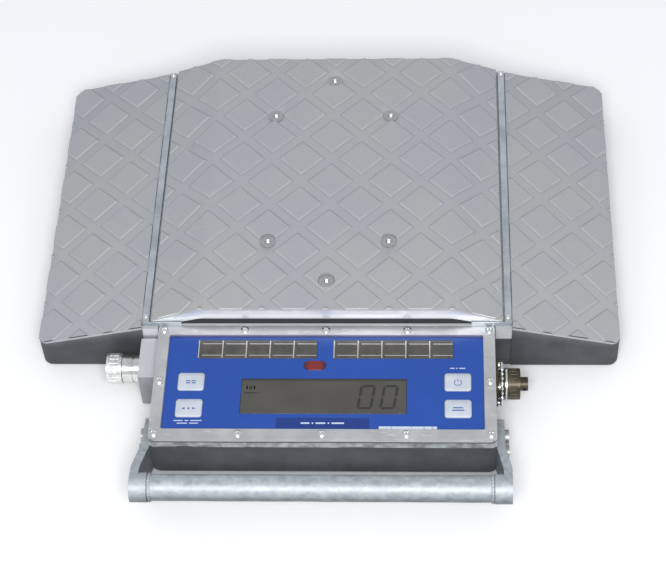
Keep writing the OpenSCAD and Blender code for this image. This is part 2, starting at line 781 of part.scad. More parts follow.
// a window or strip that sits in the panel on a flange from below
module panel_piece(x, y, w, d, r, top) {
  translate([x, y, plate_z - cut / 2]) slab(w, d, r, top - plate_z + cut / 2);
  translate([x, y, plate_z - flange_h]) slab(w + 2 * flange_w, d + 2 * flange_w, r, flange_h);
}
module solar_left() {
  color("saddlebrown") panel_piece(-solar_x, solar_y, solar_w, solar_d, 1, plate_top + overlay_t);
}
module solar_right() {
  color("saddlebrown") panel_piece(solar_x, solar_y, solar_w, solar_d, 1, plate_top + overlay_t);
}
module ir_window() {
  color("darkred") panel_piece(ir_x, ir_y, ir_w, ir_d, ir_d / 2 - 0.01, plate_top + overlay_t);
}
module lcd_lens() {
  color("gray") panel_piece(0, lcd_y, lcd_w, lcd_d, 1.5, plate_top + 0.3);
}

// display module under its lens
module lcd_module() {
  z1 = plate_z - flange_h;
  color("dimgray") translate([0, lcd_y, z1 - lcd_module_t])
    slab(lcd_w + 2 * flange_w, lcd_d + 2 * flange_w, 2, lcd_module_t);
}

// one key: a cap through the panel on a wider flange below it
module key(x, y) {
  translate([x, y, key_flange_z]) slab(key_w, key_d, 3, key_top - key_flange_z);
  translate([x, y, key_flange_z]) slab(key_w + 4, key_d + 4, 3, key_flange_t);
}
module key_unit() { color("whitesmoke") key(-key_x, key_y[0]); }
module key_total() { color("whitesmoke") key(-key_x, key_y[1]); }
module key_power() { color("whitesmoke") key(key_x, key_y[0]); }
module key_print() { color("whitesmoke") key(key_x, key_y[1]); }

// small boards under the keys
module key_boards() {
  color("green") for (s = [-1, 1]) translate([s * key_x, key_board_y, key_board_z])
    slab(key_board_w, key_board_d, 2, key_board_t);
}

// one switch under each key
module key_switches() {
  color("black") for (s = [-1, 1], y = key_y)
    translate([s * key_x, y, key_board_z + key_board_t]) {
      translate([-switch_w / 2, -switch_w / 2, 0]) cube([switch_w, switch_w, switch_h - 1]);
      cylinder(r = 1.7, h = switch_h);
    }
}

// spacers that hang the key boards from the panel plate
module key_standoffs() {
  z0 = key_board_z + key_board_t;
  color("goldenrod") for (s = [-1, 1], sx = [-1, 1], sy = [-1, 1])
    translate([s * key_x + sx * (key_board_w / 2 - 2.4), key_board_y + sy * (key_board_d / 2 - 2.4), z0])
      cylinder(r = standoff_r, h = plate_z - z0);
}

// ---- ports ---------------------------------------------------------------------------

// block beside the housing that carries the charging port
module port_block() {
  color("silver") difference() {
    translate([-(px + block_x) / 2, (block_y0 + block_y1) / 2, ground_gap])
      slab(block_w, block_y1 - block_y0, 1.5, block_h - ground_gap);
    for (y = [port_y - 17, port_y + 17]) {
      bar_x(m4 / 2 + screw_gap, -block_x - cut, -px + cut, y, block_bolt_z);
      bar_x(m4 + 0.2, -block_x - cut, -block_x + 5, y, block_bolt_z);
    }
    bar_x(6, -block_x - cut, -px + cut, port_y, port_z);
  }
}

// screws through the block into the housing
module block_bolts() {
  color("gray") for (y = [port_y - 17, port_y + 17]) translate([-block_x + 5, y, block_bolt_z])
    rotate([0, -90, 0]) socket_screw(m4 / 2 + 0.05, block_w - 5 + 7, m4 - 0.2, 4, 1.7);
}

// charging port: body with two flats, threaded spigot, contacts in its bore
module charge_port() {
  x0 = -block_x;
  xb = x0 - port_len;
  color("silver") {
    difference() {
      union() {
        bar_x(port_od / 2, xb, x0, port_y, port_z);
        bar_x(spigot_r, xb - spigot_len, xb + cut, port_y, port_z);
        bar_x(5.5, x0 - cut, -px - 2, port_y, port_z);
      }
      bar_x(spigot_r - 3, xb - spigot_len - cut, xb + 2, port_y, port_z);
      bar_x(port_od / 2 + cut, x0 - port_len * 0.42, x0 - port_len * 0.34, port_y, port_z - 2 * port_od);
      difference() {
        bar_x(port_od / 2 + cut, x0 - port_len * 0.45, x0 - port_len * 0.35, port_y, port_z);
        bar_x(port_od / 2 - 1, x0 - port_len, x0, port_y, port_z);
      }
    }
    for (a = [45:90:315])
      bar_x(1, xb - spigot_len + 3, xb + 2.5, port_y + 4 * cos(a), port_z + 4 * sin(a));
  }
}

// knurled cap of the charging port
module port_cap() {
  x1 = -block_x - port_len - 0.5;
  x0 = x1 - cap_len;
  ribs = 20;
  color("lightgray") difference() {
    bar_x(cap_or, x0, x1, port_y, port_z);
    bar_x(spigot_r + cap_gap, x0 + 2.5, x1 + cut, port_y, port_z);
    for (i = [0:ribs - 1]) bar_x(0.9, x0 + 3, x1 - 3, port_y + (cap_or + 0.4) * cos(i * 360 / ribs),
                                 port_z + (cap_or + 0.4) * sin(i * 360 / ribs));
  }
}

// sealing washer held in the cap
module port_washer() {
  x0 = -block_x - port_len - spigot_len;
  color("black") difference() {
    bar_x(spigot_r - 0.2, x0 - 1.4, x0, port_y, port_z);
    bar_x(spigot_r - 2.6, x0 - 1.4 - cut, x0 + cut, port_y, port_z);
  }
}

// data connector: square flange, neck, threaded spigot and contacts
module data_connector() {
  color("gray") {
    difference() {
      union() {
        translate([px, dust_y, dust_z]) rotate([0, 90, 0]) slab(flange_s, flange_s, 4, neck_x - px);
        bar_x(dust_r - 1.7, neck_x - cut, neck_x + neck_len - 2.5, dust_y, dust_z);
        bar_x(dust_spigot_r, neck_x - cut, neck_x + neck_len + dust_spigot_len, dust_y, dust_z);
        bar_x(5.5, px - house_wall - 2, px + cut, dust_y, dust_z);
      }
      bar_x(dust_spigot_r - 3, neck_x + neck_len + 3, neck_x + neck_len + dust_spigot_len + cut,
            dust_y, dust_z);
      for (sy = [-1, 1], sz = [-1, 1])
        bar_x(1.5 + screw_gap, px - cut, neck_x + cut, dust_y + sy * (flange_s / 2 - 4),
              dust_z + sz * (flange_s / 2 - 4));
    }
    for (a = [0:60:300])
      bar_x(0.9, neck_x + neck_len + 2.5, neck_x + neck_len + dust_spigot_len - 3,
            dust_y + 5 * cos(a), dust_z + 5 * sin(a));
  }
}

// screws of the connector's flange
module connector_screws() {
  color("white") for (sy = [-1, 1], sz = [-1, 1])
    translate([neck_x, dust_y + sy * (flange_s / 2 - 4), dust_z + sz * (flange_s / 2 - 4)])
      rotate([0, 90, 0]) socket_screw(1.5, 8.5, 2.8, dust_screw_h, 1.2);
}

// dust cap with a groove for its ring and a knob at the end
module dust_cap() {
  x1 = cap_x + dust_len;
  ribs = 24;
  color("darkolivegreen") difference() {
    union() {
      bar_x(dust_r - 2.1, cap_x, x1, dust_y, dust_z);
      bar_x(dust_r, cap_x, cap_x + 0.8, dust_y, dust_z);
      bar_x(dust_r, cap_x + 3.2, x1, dust_y, dust_z);
      bar_x(knob_r, x1 - cut, x1 + knob_len, dust_y, dust_z);
    }
    bar_x(dust_spigot_r + cap_gap, cap_x - cut, cap_x + dust_len - 2.8, dust_y, dust_z);
    bar_y(2, x1 + knob_len - 3.6, dust_y - knob_r - cut, dust_y + knob_r + cut, dust_z);
    for (i = [0:ribs - 1]) bar_x(0.8, cap_x + 5.5, x1 - 2.5,
      dust_y + (dust_r + 0.35) * cos(i * 360 / ribs), dust_z + (dust_r + 0.35) * sin(i * 360 / ribs));
  }
}

// ring that rides in the dust cap's groove and holds the chain
module cap_ring() {
  xr = cap_x + 1.1;
  a = chain_a1;
  color("gray") difference() {
    union() {
      bar_x(dust_r + 0.6, xr, xr + 1.6, dust_y, dust_z);
      translate([xr, dust_y - chain_r * cos(a), dust_z + chain_r * sin(a)]) rotate([0, 90, 0])
        cylinder(r = 3.4, h = 1.6);
    }
    bar_x(dust_r - 1.8, xr - cut, xr + 1.6 + cut, dust_y, dust_z);
    translate([xr - cut, dust_y - (chain_r + 0.6) * cos(a), dust_z + (chain_r + 0.6) * sin(a)])
      rotate([0, 90, 0]) cylinder(r = 1.2, h = 4);
  }
}

// bead chain from a screw of the flange, over the neck, to the ring's eye
module cap_chain() {
  r = chain_r + 0.6;
  step = (chain_a1 - chain_a0) / (chain_n - 1);
  chord = 2 * r * sin(abs(step) / 2);
  color("gray") {
    for (i = [0:chain_n - 1]) {
      a = chain_a0 + i * step;
      translate([chain_x, dust_y - r * cos(a), dust_z + r * sin(a)])
        rotate([180 - a, 0, 0]) for (m = [0, 1]) mirror([0, 0, m]) {
          cylinder(r = bead_r, h = bead_r * 0.4);
          translate([0, 0, bead_r * 0.4]) cylinder(r1 = bead_r, r2 = bead_r * 0.55, h = bead_r * 0.55);
        }
      if (i < chain_n - 1)
        translate([chain_x, dust_y - r * cos(a), dust_z + r * sin(a)])
          rotate([180 - a - step / 2, 0, 0]) translate([0, 0, bead_r - 0.35])
            cylinder(r = 0.5, h = chord - 2 * bead_r + 0.7);
    }
    translate([chain_x + bead_r - 0.6, dust_y - r * cos(chain_a1), dust_z + r * sin(chain_a1)])
      rotate([0, 90, 0]) cylinder(r = 0.8, h = cap_x + 3.6 - chain_x - bead_r, $fn = 8);
    translate([neck_x + dust_screw_h, dust_y - r * cos(chain_a0), dust_z + r * sin(chain_a0)])
      rotate([0, 90, 0])
        cylinder(r = 0.8, h = chain_x - bead_r + 0.6 - neck_x - dust_screw_h, $fn = 8);
  }
}

// ---- handle --------------------------------------------------------------------------

// grip tube between the two collars
module handle_tube() {
  color("silver") difference() {
    bar_x(handle_od / 2, -collar_in, collar_in, grip_y, handle_h);
    bar_x(handle_od / 2 - 3, -collar_in - cut, collar_in + cut, grip_y, handle_h);
  }
}

// bent arm with a collar at its end; side is -1 on the left and 1 on the right
module arm(side) {
  bend_y = panel_y0 + 2;
  plan = [[arm_in, arm_rear_y], [arm_in, bend_y - 2], [arm_in + arm_splay, grip_y + 16],
    [arm_in + arm_splay, grip_y - 20], [arm_out, grip_y - 20], [arm_out, grip_y + 18],
    [arm_in + arm_t, bend_y], [arm_in + arm_t, arm_rear_y]];
  low = ground_gap + 6;
  shape = [[arm_rear_y, low], [arm_rear_y, handle_h - 12], [grip_y + 4, handle_h + collar_r - 0.6],
    [grip_y - 9, handle_h - collar_r + 3.4], [panel_y0 - 2, low]];
  collar_x0 = side < 0 ? -arm_out : collar_in;
  mirror([side < 0 ? 1 : 0, 0, 0]) difference() {
    union() {
      intersection() {
        linear_extrude(deck_h) polygon(plan);
        rotate([90, 0, 90]) linear_extrude(arm_out + cut) polygon(shape);
      }
      bar_x(collar_r, collar_in, arm_out, grip_y, handle_h);
    }
    for (y = arm_bolt_y) bar_x(m8 / 2 + screw_gap, arm_in - cut, arm_in + arm_t + cut, y, arm_bolt_z);
  }
}
module arm_left() { color("silver") arm(-1); }
module arm_right() { color("silver") arm(1); }

// bolts through the arms into the housing
module arm_bolts() {
  color("gray") for (s = [-1, 1], y = arm_bolt_y)
    translate([s * (arm_in + arm_t), y, arm_bolt_z]) rotate([0, s * 90, 0])
      socket_screw(m8 / 2, arm_t + 8, 7, 4.4, 2.9);
}

// weld fillets between the tube and the collars
module handle_welds() {
  r = handle_od / 2;
  color("gray") for (s = [-1, 1]) translate([s * collar_in, grip_y, handle_h])
    rotate([0, -s * 90, 0]) difference() {
      cylinder(r1 = r + 1.2, r2 = r + 0.2, h = weld_w);
      translate([0, 0, -cut]) cylinder(r = r, h = weld_w + 2 * cut);
    }
}

base_frame();
base_feet();
ramp_left();
ramp_right();
ramp_feet();
ramp_bolts();
perimeter_seal();
rail_left();
rail_right();
rail_screws();
deck();
deck_screws();
spreader_front();
spreader_rear();
cell_front();
cell_rear();
cell_screws();
stop_screws();
cell_cables();
housing();
housing_bolts();
battery_door();
door_screws();
battery_pack();
board_posts();
main_board();
board_parts();
panel_gasket();
panel_plate();
overlay();
bezel();
bezel_screws();
solar_left();
solar_right();
ir_window();
lcd_lens();
lcd_module();
key_unit();
key_total();
key_power();
key_print();
key_boards();
key_switches();
key_standoffs();
port_block();
block_bolts();
charge_port();
port_cap();
port_washer();
data_connector();
connector_screws();
dust_cap();
cap_ring();
cap_chain();
handle_tube();
arm_left();
arm_right();
arm_bolts();
handle_welds();
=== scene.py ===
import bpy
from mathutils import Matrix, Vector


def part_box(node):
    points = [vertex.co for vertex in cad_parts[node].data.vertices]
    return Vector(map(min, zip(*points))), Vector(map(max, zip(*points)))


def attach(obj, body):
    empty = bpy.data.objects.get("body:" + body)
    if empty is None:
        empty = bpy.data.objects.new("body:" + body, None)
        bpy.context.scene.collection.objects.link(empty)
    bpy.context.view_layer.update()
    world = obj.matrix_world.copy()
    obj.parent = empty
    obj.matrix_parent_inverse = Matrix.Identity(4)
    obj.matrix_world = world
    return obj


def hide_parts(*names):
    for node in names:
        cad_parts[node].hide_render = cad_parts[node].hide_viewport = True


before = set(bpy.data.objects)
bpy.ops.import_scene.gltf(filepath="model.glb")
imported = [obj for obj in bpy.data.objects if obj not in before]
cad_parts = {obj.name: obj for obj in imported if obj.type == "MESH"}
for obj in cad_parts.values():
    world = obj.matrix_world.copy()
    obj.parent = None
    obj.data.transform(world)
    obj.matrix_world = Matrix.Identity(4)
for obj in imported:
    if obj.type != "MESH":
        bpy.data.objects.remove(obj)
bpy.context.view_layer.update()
import bmesh
import bpy
import numpy as np
from mathutils import Matrix, Vector
from mathutils.geometry import tessellate_polygon

# A portable wheel load scale: a crowned weighing platform between two ramps, with an
# indicator across the front and a tube handle. Metres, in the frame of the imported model.

# ---- Camera ---------------------------------------------------------------------------
# A long lens, two metres away, looks down on the scale from the handle's side.
tilt, yaw, roll = np.radians([51.8, -4.8, -3.8])
focal_mm, sensor_mm = 103.676, 36.0
camera_place = (0.1039, -1.2975, 1.5615)
ahead = np.array([np.sin(yaw) * np.cos(tilt), np.cos(yaw) * np.cos(tilt), -np.sin(tilt)])
level = np.array([np.cos(yaw), -np.sin(yaw), 0.0])
above = np.cross(level, ahead)
aside = level * np.cos(roll) + above * np.sin(roll)
upright = above * np.cos(roll) - level * np.sin(roll)
lens = bpy.data.cameras.new("view")
lens.sensor_width, lens.lens = sensor_mm, focal_mm
lens.clip_end = 50
camera = bpy.data.objects.new("view", lens)
turned = np.eye(4)
turned[:3, 0], turned[:3, 1], turned[:3, 2] = aside, upright, -ahead
turned[:3, 3] = camera_place
camera.matrix_world = Matrix(turned.tolist())
bpy.context.scene.collection.objects.link(camera)
bpy.context.scene.camera = camera

# ---- Studio ---------------------------------------------------------------------------
# A pale painted floor, one big soft box above the camera's side and a pale sky. Every
# finish below is written with this section's two classes.


class Value:
    """A number that varies over a surface: a socket whose operators add Math nodes."""

    def __init__(self, paint, socket):
        self.paint, self.socket = paint, socket

    def do(self, operation, *others):
        """One Math node on this number and the others."""
        inputs = dict(enumerate((self,) + others))
        return self.paint.node("Math", {"operation": operation}, inputs)

    def __add__(self, other): return self.do("ADD", other)
    def __sub__(self, other): return self.do("SUBTRACT", other)
    def __mul__(self, other): return self.do("MULTIPLY", other)
    def __truediv__(self, other): return self.do("DIVIDE", other)
    def __rsub__(self, other): return self.paint.node(
        "Math", {"operation": "SUBTRACT"}, {0: other, 1: self})
    __radd__, __rmul__ = __add__, __mul__

    def ramp(self, low, high):
        """0 below low, 1 above high and smooth between them."""
        kind = {"interpolation_type": "SMOOTHSTEP"}
        return self.paint.node("MapRange", kind, {"Value": self, "From Min": low, "From Max": high})

    def at_least(self, other): return self.do("MAXIMUM", other)
    def size(self): return self.do("ABSOLUTE")
    def fraction(self): return self.do("FRACT")


class Paint:
    """A finish: a Principled shader and the nodes that lead to it."""

    def __init__(self, name, roughness=0.5, **constants):
        self.material = bpy.data.materials.new(name)
        self.material.use_nodes = True
        self.tree = self.material.node_tree
        self.shader = next(n for n in self.tree.nodes if n.type == "BSDF_PRINCIPLED")
        self.shader.inputs["Roughness"].default_value = roughness
        for key, number in constants.items():
            self.shader.inputs[key.replace("_", " ")].default_value = number

    def put(self, socket, item):
        """Links a varying item to a socket, or writes a constant on it."""
        if isinstance(item, Value):
            item = item.socket
        if isinstance(item, bpy.types.NodeSocket):
            self.tree.links.new(item, socket)
        elif isinstance(item, (tuple, list)) and socket.type == "RGBA" and len(item) == 3:
            socket.default_value = (*item, 1.0)
        else:
            socket.default_value = item

    def node(self, kind, settings=None, inputs=None, out=0):
        """Any node: its settings are set first, then its sockets are given values or links."""
        made = self.tree.nodes.new("ShaderNode" + kind)
        for key, setting in (settings or {}).items():
            setattr(made, key, setting)
        for key, item in (inputs or {}).items():
            self.put(made.inputs[key], item)
        return Value(self, made.outputs[out])

    def place(self, stretch=(1, 1, 1), turn=(0, 0, 0)):
        """Where a point is on the object, stretched or turned to set a pattern's grain."""
        where = self.node("TexCoord", out="Object")
        return self.node("Mapping", None, {"Vector": where, "Scale": stretch, "Rotation": turn})

    def axis(self, name):
        """One coordinate of the point, in metres."""
        return self.node("SeparateXYZ", None, {0: self.node("TexCoord", out="Object")}, out=name)

    def noise(self, scale, detail=3.0, rough=0.55, where=None):
        """Soft noise from 0 to 1 with scale blobs to the metre."""
        return self.node("TexNoise", None, {"Scale": scale, "Detail": detail,
                                            "Roughness": rough, "Vector": where or self.place()})

    def cells(self, scale, where=None, feature="F1", out="Distance"):
        """Cells with scale of them to the metre: the distance from their middles, or a
        colour for each."""
        return self.node("TexVoronoi", {"feature": feature},
                         {"Scale": scale, "Vector": where or self.place()}, out=out)

    def mix(self, share, first, second):
        """A colour between two colours."""
        made = self.tree.nodes.new("ShaderNodeMix")
        made.data_type = "RGBA"
        self.put(made.inputs[0], share)
        self.put(made.inputs[6], first)
        self.put(made.inputs[7], second)
        return Value(self, made.outputs[2])

    def facing_up(self):
        """1 on faces that look up, 0 on walls and undersides."""
        normal = self.node("NewGeometry", out="Normal")
        return self.node("SeparateXYZ", None, {0: normal}, out="Z")

    def set(self, **sockets):
        """Feeds the shader's sockets, named with _ for a space."""
        for key, item in sockets.items():
            self.put(self.shader.inputs[key.replace("_", " ")], item)

    def bump(self, height, depth, strength=1.0):
        """height from 0 to 1 becomes a relief of depth metres."""
        self.set(Normal=self.node("Bump", None, {"Height": height, "Distance": depth,
                                                 "Strength": strength}))


floor_paint = Paint("floor paint", 0.6)
floor_tone = floor_paint.noise(1.5, 2)
floor_paint.set(Base_Color=floor_paint.mix(floor_tone, (0.95, 0.95, 0.95), (0.97, 0.97, 0.97)))
bpy.ops.mesh.primitive_plane_add(size=14)
floor = bpy.context.object
floor.name = "floor"
floor.data.materials.append(floor_paint.material)


def soft_box(name, place, target, width, depth, watts):
    """A rectangular area light at place that looks at target."""
    light = bpy.data.lights.new(name, "AREA")
    light.shape, light.size, light.size_y, light.energy = "RECTANGLE", width, depth, watts
    box = bpy.data.objects.new(name, light)
    look = np.array(target, float) - place
    look /= np.linalg.norm(look)
    side = np.cross(look, [0, 1, 0.001])
    side /= np.linalg.norm(side)
    turned = np.eye(4)
    turned[:3, 0], turned[:3, 1], turned[:3, 2] = side, np.cross(side, look), -look
    turned[:3, 3] = place
    box.matrix_world = Matrix(turned.tolist())
    bpy.context.scene.collection.objects.link(box)


soft_box("key box", np.array([0.12, -1.9, 2.0]), (0, -0.05, 0), 1.3, 0.9, 50)
world = bpy.data.worlds.new("sky")
world.use_nodes = True
world.node_tree.nodes["Background"].inputs["Color"].default_value = (0.93, 0.96, 1.0, 1.0)
world.node_tree.nodes["Background"].inputs["Strength"].default_value = 0.64
bpy.context.scene.world = world
bpy.context.scene.view_settings.view_transform = "Standard"

# ---- Base frame -----------------------------------------------------------------------
# The tray that everything bolts to: gravity-cast aluminium with a grey sand texture, its
# rim and ears milled and its edges broken by hand; its walls are painted dark as shade. A
# grey silicone seal lies on the rim, its lower part painted black as the shade in the gap;
# rubber feet stand below.
edge_break = 0.0009
milled_reach, milled_above = 0.169, 0.045
seal_shade_h = 0.0022


def scaled(tone, share):
    """A colour made lighter or darker."""
    return tuple(np.array(tone) * share)


def casting(name, top, side, tread=False, milled=None, above=0.0):
    """Cast metal: a pale mottled coat on what faces up, and on the walls a dark coat that is
    painted shade. A tread is worn pale along its pads' top edges, which also paints a
    highlight there, and darker at their feet, partly dirt and partly painted shade. Walls
    further than milled along Y, and higher than above, are cut bright."""
    coat = Paint(name)
    patches = coat.noise(9, 4, 0.6).ramp(0.36, 0.64)
    specks = coat.noise(520, 3, 0.7)
    pits = coat.cells(260, feature="SMOOTH_F1")
    cool = scaled(top, (0.96, 0.99, 1.04))
    warm = scaled(top, (1.03, 1.02, 0.99))
    pale = coat.mix(patches, cool, warm)
    pale = coat.mix(specks.ramp(0.3, 0.75) * 0.35, pale, scaled(top, 0.8))
    if tread:
        p = (coat.axis("X") - first_pad[0]) / pitch
        q = (coat.axis("Y") - first_pad[1]) / pitch
        u = ((p + q + 0.5).fraction() - 0.5).size()
        v = ((p - q + 0.5).fraction() - 0.5).size()
        from_middle = u.at_least(v)
        edge = (pad_half - pad_draft * np.sqrt(2)) / pitch
        # Along each pad's top edge: wear, and a painted highlight where light catches the edge.
        edge_wear_and_highlight = 1 - ((from_middle - edge).size() / 0.016).ramp(0, 1)
        edge_wear_and_highlight = edge_wear_and_highlight * coat.noise(45, 3).ramp(0.38, 0.62)
        # Round each pad's foot: dirt, and painted shade in the groove.
        foot_dirt_and_shade = 1 - ((from_middle - pad_half / pitch).size() / 0.022).ramp(0, 1)
        pale = coat.mix(foot_dirt_and_shade * 0.28, pale, scaled(top, 0.55))
        pale = coat.mix(edge_wear_and_highlight * 0.5, pale, scaled(top, 1.35))
    # The walls' dark coat is painted shade: a darker, mottled and specked tone standing in for the
    # shade on walls.
    shaded = coat.mix(coat.noise(22, 5, 0.65).ramp(0.3, 0.72), scaled(side, 0.78),
                   scaled(side, 1.3))
    shaded = coat.mix(specks.ramp(0.55, 0.8) * 0.5, shaded, scaled(side, 1.7))
    # Faces that look up take the pale coat and walls the shaded one: shade painted by how a face is
    # turned.
    up = coat.facing_up().ramp(*((0.08, 0.3) if tread else (0.25, 0.62)))
    colour = coat.mix(up, shaded, pale)
    rough = 0.7 - up * 0.12 + specks * 0.06
    if milled:
        cut = (coat.axis("Y").size() - milled + 0.0016).ramp(0, 0.0004) * (1 - up)
        cut = cut * coat.axis("Z").ramp(above - 0.001, above)
        lines = coat.noise(600, 2, 0.5, coat.place(stretch=(0.02, 1, 1)))
        colour = coat.mix(cut, colour, coat.mix(lines, (0.72, 0.75, 0.77), (0.93, 0.95, 0.96)))
        rough = rough * (1 - cut) + cut * 0.32
        coat.set(Metallic=cut * 0.55)
    coat.set(Base_Color=colour, Roughness=rough)
    coat.bump(specks * 0.6 + pits * 0.5, 0.00022, 0.75)
    return coat


def keep(made, finish, body, nodes):
    """Puts a finished piece in the scene, on its body, in place of its CAD nodes."""
    made.data.materials.clear()
    made.data.materials.append(finish.material)
    bpy.context.scene.collection.objects.link(made)
    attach(made, body)
    if nodes:
        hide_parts(*nodes)
    return made


def softened(node, width, finish, body, steps=2):
    """A CAD mesh with its facets joined into whole faces and its sharp edges rounded off."""
    work = bmesh.new()
    work.from_mesh(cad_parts[node].data)
    bmesh.ops.remove_doubles(work, verts=work.verts, dist=2e-6)
    bmesh.ops.dissolve_limit(work, angle_limit=0.012, verts=work.verts, edges=work.edges)
    mesh = bpy.data.meshes.new(node + "_body")
    work.to_mesh(mesh)
    work.free()
    for stale in [a.name for a in mesh.attributes if a.name in ("custom_normal", "UVMap")]:
        mesh.attributes.remove(mesh.attributes[stale])
    mesh.shade_smooth()
    made = bpy.data.objects.new(node + "_body", mesh)
    edge = made.modifiers.new("edges", "BEVEL")
    edge.width, edge.segments, edge.limit_method = width, steps, "ANGLE"
    edge.angle_limit, edge.harden_normals, edge.use_clamp_overlap = 0.6, True, True
    return keep(made, finish, body, [node])


def painted(finish, *nodes):
    """CAD nodes whose shape stays, in this finish."""
    for node in nodes:
        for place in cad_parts[node].material_slots:
            place.material = finish.material


# Its walls take the dark side tone: painted shade.
base_skin = casting("raw cast aluminium", (0.42, 0.43, 0.45), (0.075, 0.08, 0.086),
                    milled=milled_reach, above=milled_above)
softened("base_frame", edge_break, base_skin, "base")

rubber = Paint("black rubber", 0.8)
rubber_dust = rubber.noise(70, 4, 0.7).ramp(0.4, 0.8)
rubber.set(Base_Color=rubber.mix(rubber_dust, (0.016, 0.016, 0.017), (0.05, 0.049, 0.046)),
           Roughness=0.88 - rubber_dust * 0.2)
rubber.bump(rubber.noise(900, 2), 0.0001, 0.6)
softened("base_feet", 0.0008, rubber, "base")
painted(rubber, "ramp_feet")
silicone = Paint("grey silicone", 0.6)
# The seal's lower part is painted black: painted shade in the gap under the platform's overhang.
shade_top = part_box("perimeter_seal")[1][2] - seal_shade_h
seal_gap_shade = 1 - silicone.axis("Z").ramp(shade_top, shade_top + 0.0006)
seal_tone = silicone.mix(silicone.noise(90, 4, 0.7), (0.30, 0.33, 0.35), (0.46, 0.49, 0.51))
silicone.set(Base_Color=silicone.mix(seal_gap_shade, seal_tone, (0.02, 0.022, 0.024)))
silicone.bump(silicone.noise(900, 2), 0.0001, 0.5)
painted(silicone, "perimeter_seal")

# ---- Ramps ----------------------------------------------------------------------------
# Two hollow aluminium castings with four bays below, bolted to the base from inside. Their
# sloped tops carry a cast tread of raised diamond pads with drafted sides.
pitch = 0.0616
pad_half = 0.0237
pad_rise = 0.0015
pad_draft = 0.0017
first_pad = np.array([pitch / 2, 0.0879])
ramp_edge_h = 0.0365
ramp_wall = 0.008
ramp_roof = 0.009
ramp_corner = 0.010
ramp_round = 0.0014
pad_gap = 0.0006
bay_corner, bay_round, bay_draft = 0.004, 0.003, 0.0005
ramp_bays = 4
# tread_side is the dark tone the castings' walls get: painted shade; tread_top is the pale coat on
# what faces up.
tread_top, tread_side = (0.375, 0.38, 0.39), (0.052, 0.056, 0.061)


def corners(node):
    """The lowest and the highest corner of a CAD piece's box."""
    return (np.array(corner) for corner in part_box(node))


def skin(rings, caps=(True, True)):
    """A surface through rings of equally many points: four-sided faces between each ring
    and the next, and a flat face over the first and the last."""
    rings = np.asarray(rings, float)
    count, points = rings.shape[:2]
    ring, point = np.meshgrid(np.arange(count - 1), np.arange(points), indexing="ij")
    here, beside = ring * points + point, ring * points + (point + 1) % points
    quads = np.stack([here, beside, beside + points, here + points], -1).reshape(-1, 4)
    ends = [np.arange(points)[::-1]] * caps[0]
    ends += [np.arange((count - 1) * points, count * points)] * caps[1]
    return rings.reshape(-1, 3), [quads] + [end[None] for end in ends]


def piece(name, shapes, finish, body, nodes=(), crease=32):
    """Shapes joined into one object: doubles merged, faces outwards, smooth up to a crease
    of so many degrees."""
    points, faces, start = [], [], 0
    for places, groups in shapes:
        points.append(places)
        for group in groups:
            faces += (group + start).tolist()
        start += len(places)
    mesh = bpy.data.meshes.new(name)
    mesh.from_pydata(np.concatenate(points).tolist(), [], faces)
    work = bmesh.new()
    work.from_mesh(mesh)
    bmesh.ops.remove_doubles(work, verts=work.verts, dist=1e-7)
    bmesh.ops.dissolve_degenerate(work, edges=work.edges, dist=1e-7)
    bmesh.ops.recalc_face_normals(work, faces=work.faces)
    work.to_mesh(mesh)
    work.free()
    mesh.shade_smooth()
    mesh.set_sharp_from_angle(angle=np.radians(crease))
    return keep(bpy.data.objects.new(name, mesh), finish, body, nodes)


def shrunk(outline, inset):
    """An anticlockwise outline moved inwards: each point goes along the sum of its two
    sides' normals, far enough that both sides move by inset."""
    ahead = np.roll(outline, -1, 0) - outline
    ahead = ahead / np.linalg.norm(ahead, axis=1, keepdims=True)
    normal = np.stack([-ahead[:, 1], ahead[:, 0]], -1)
    both = normal + np.roll(normal, 1, 0)
    return outline + inset * both * 2 / np.sum(both * both, 1, keepdims=True)


def edge_round(radius, steps=4):
    """Inset and drop along a quarter circle, from a wall's top to the face it meets."""
    turn = np.linspace(0, np.pi / 2, steps)
    return np.stack([radius * (1 - np.cos(turn)), radius * (1 - np.sin(turn))], -1)


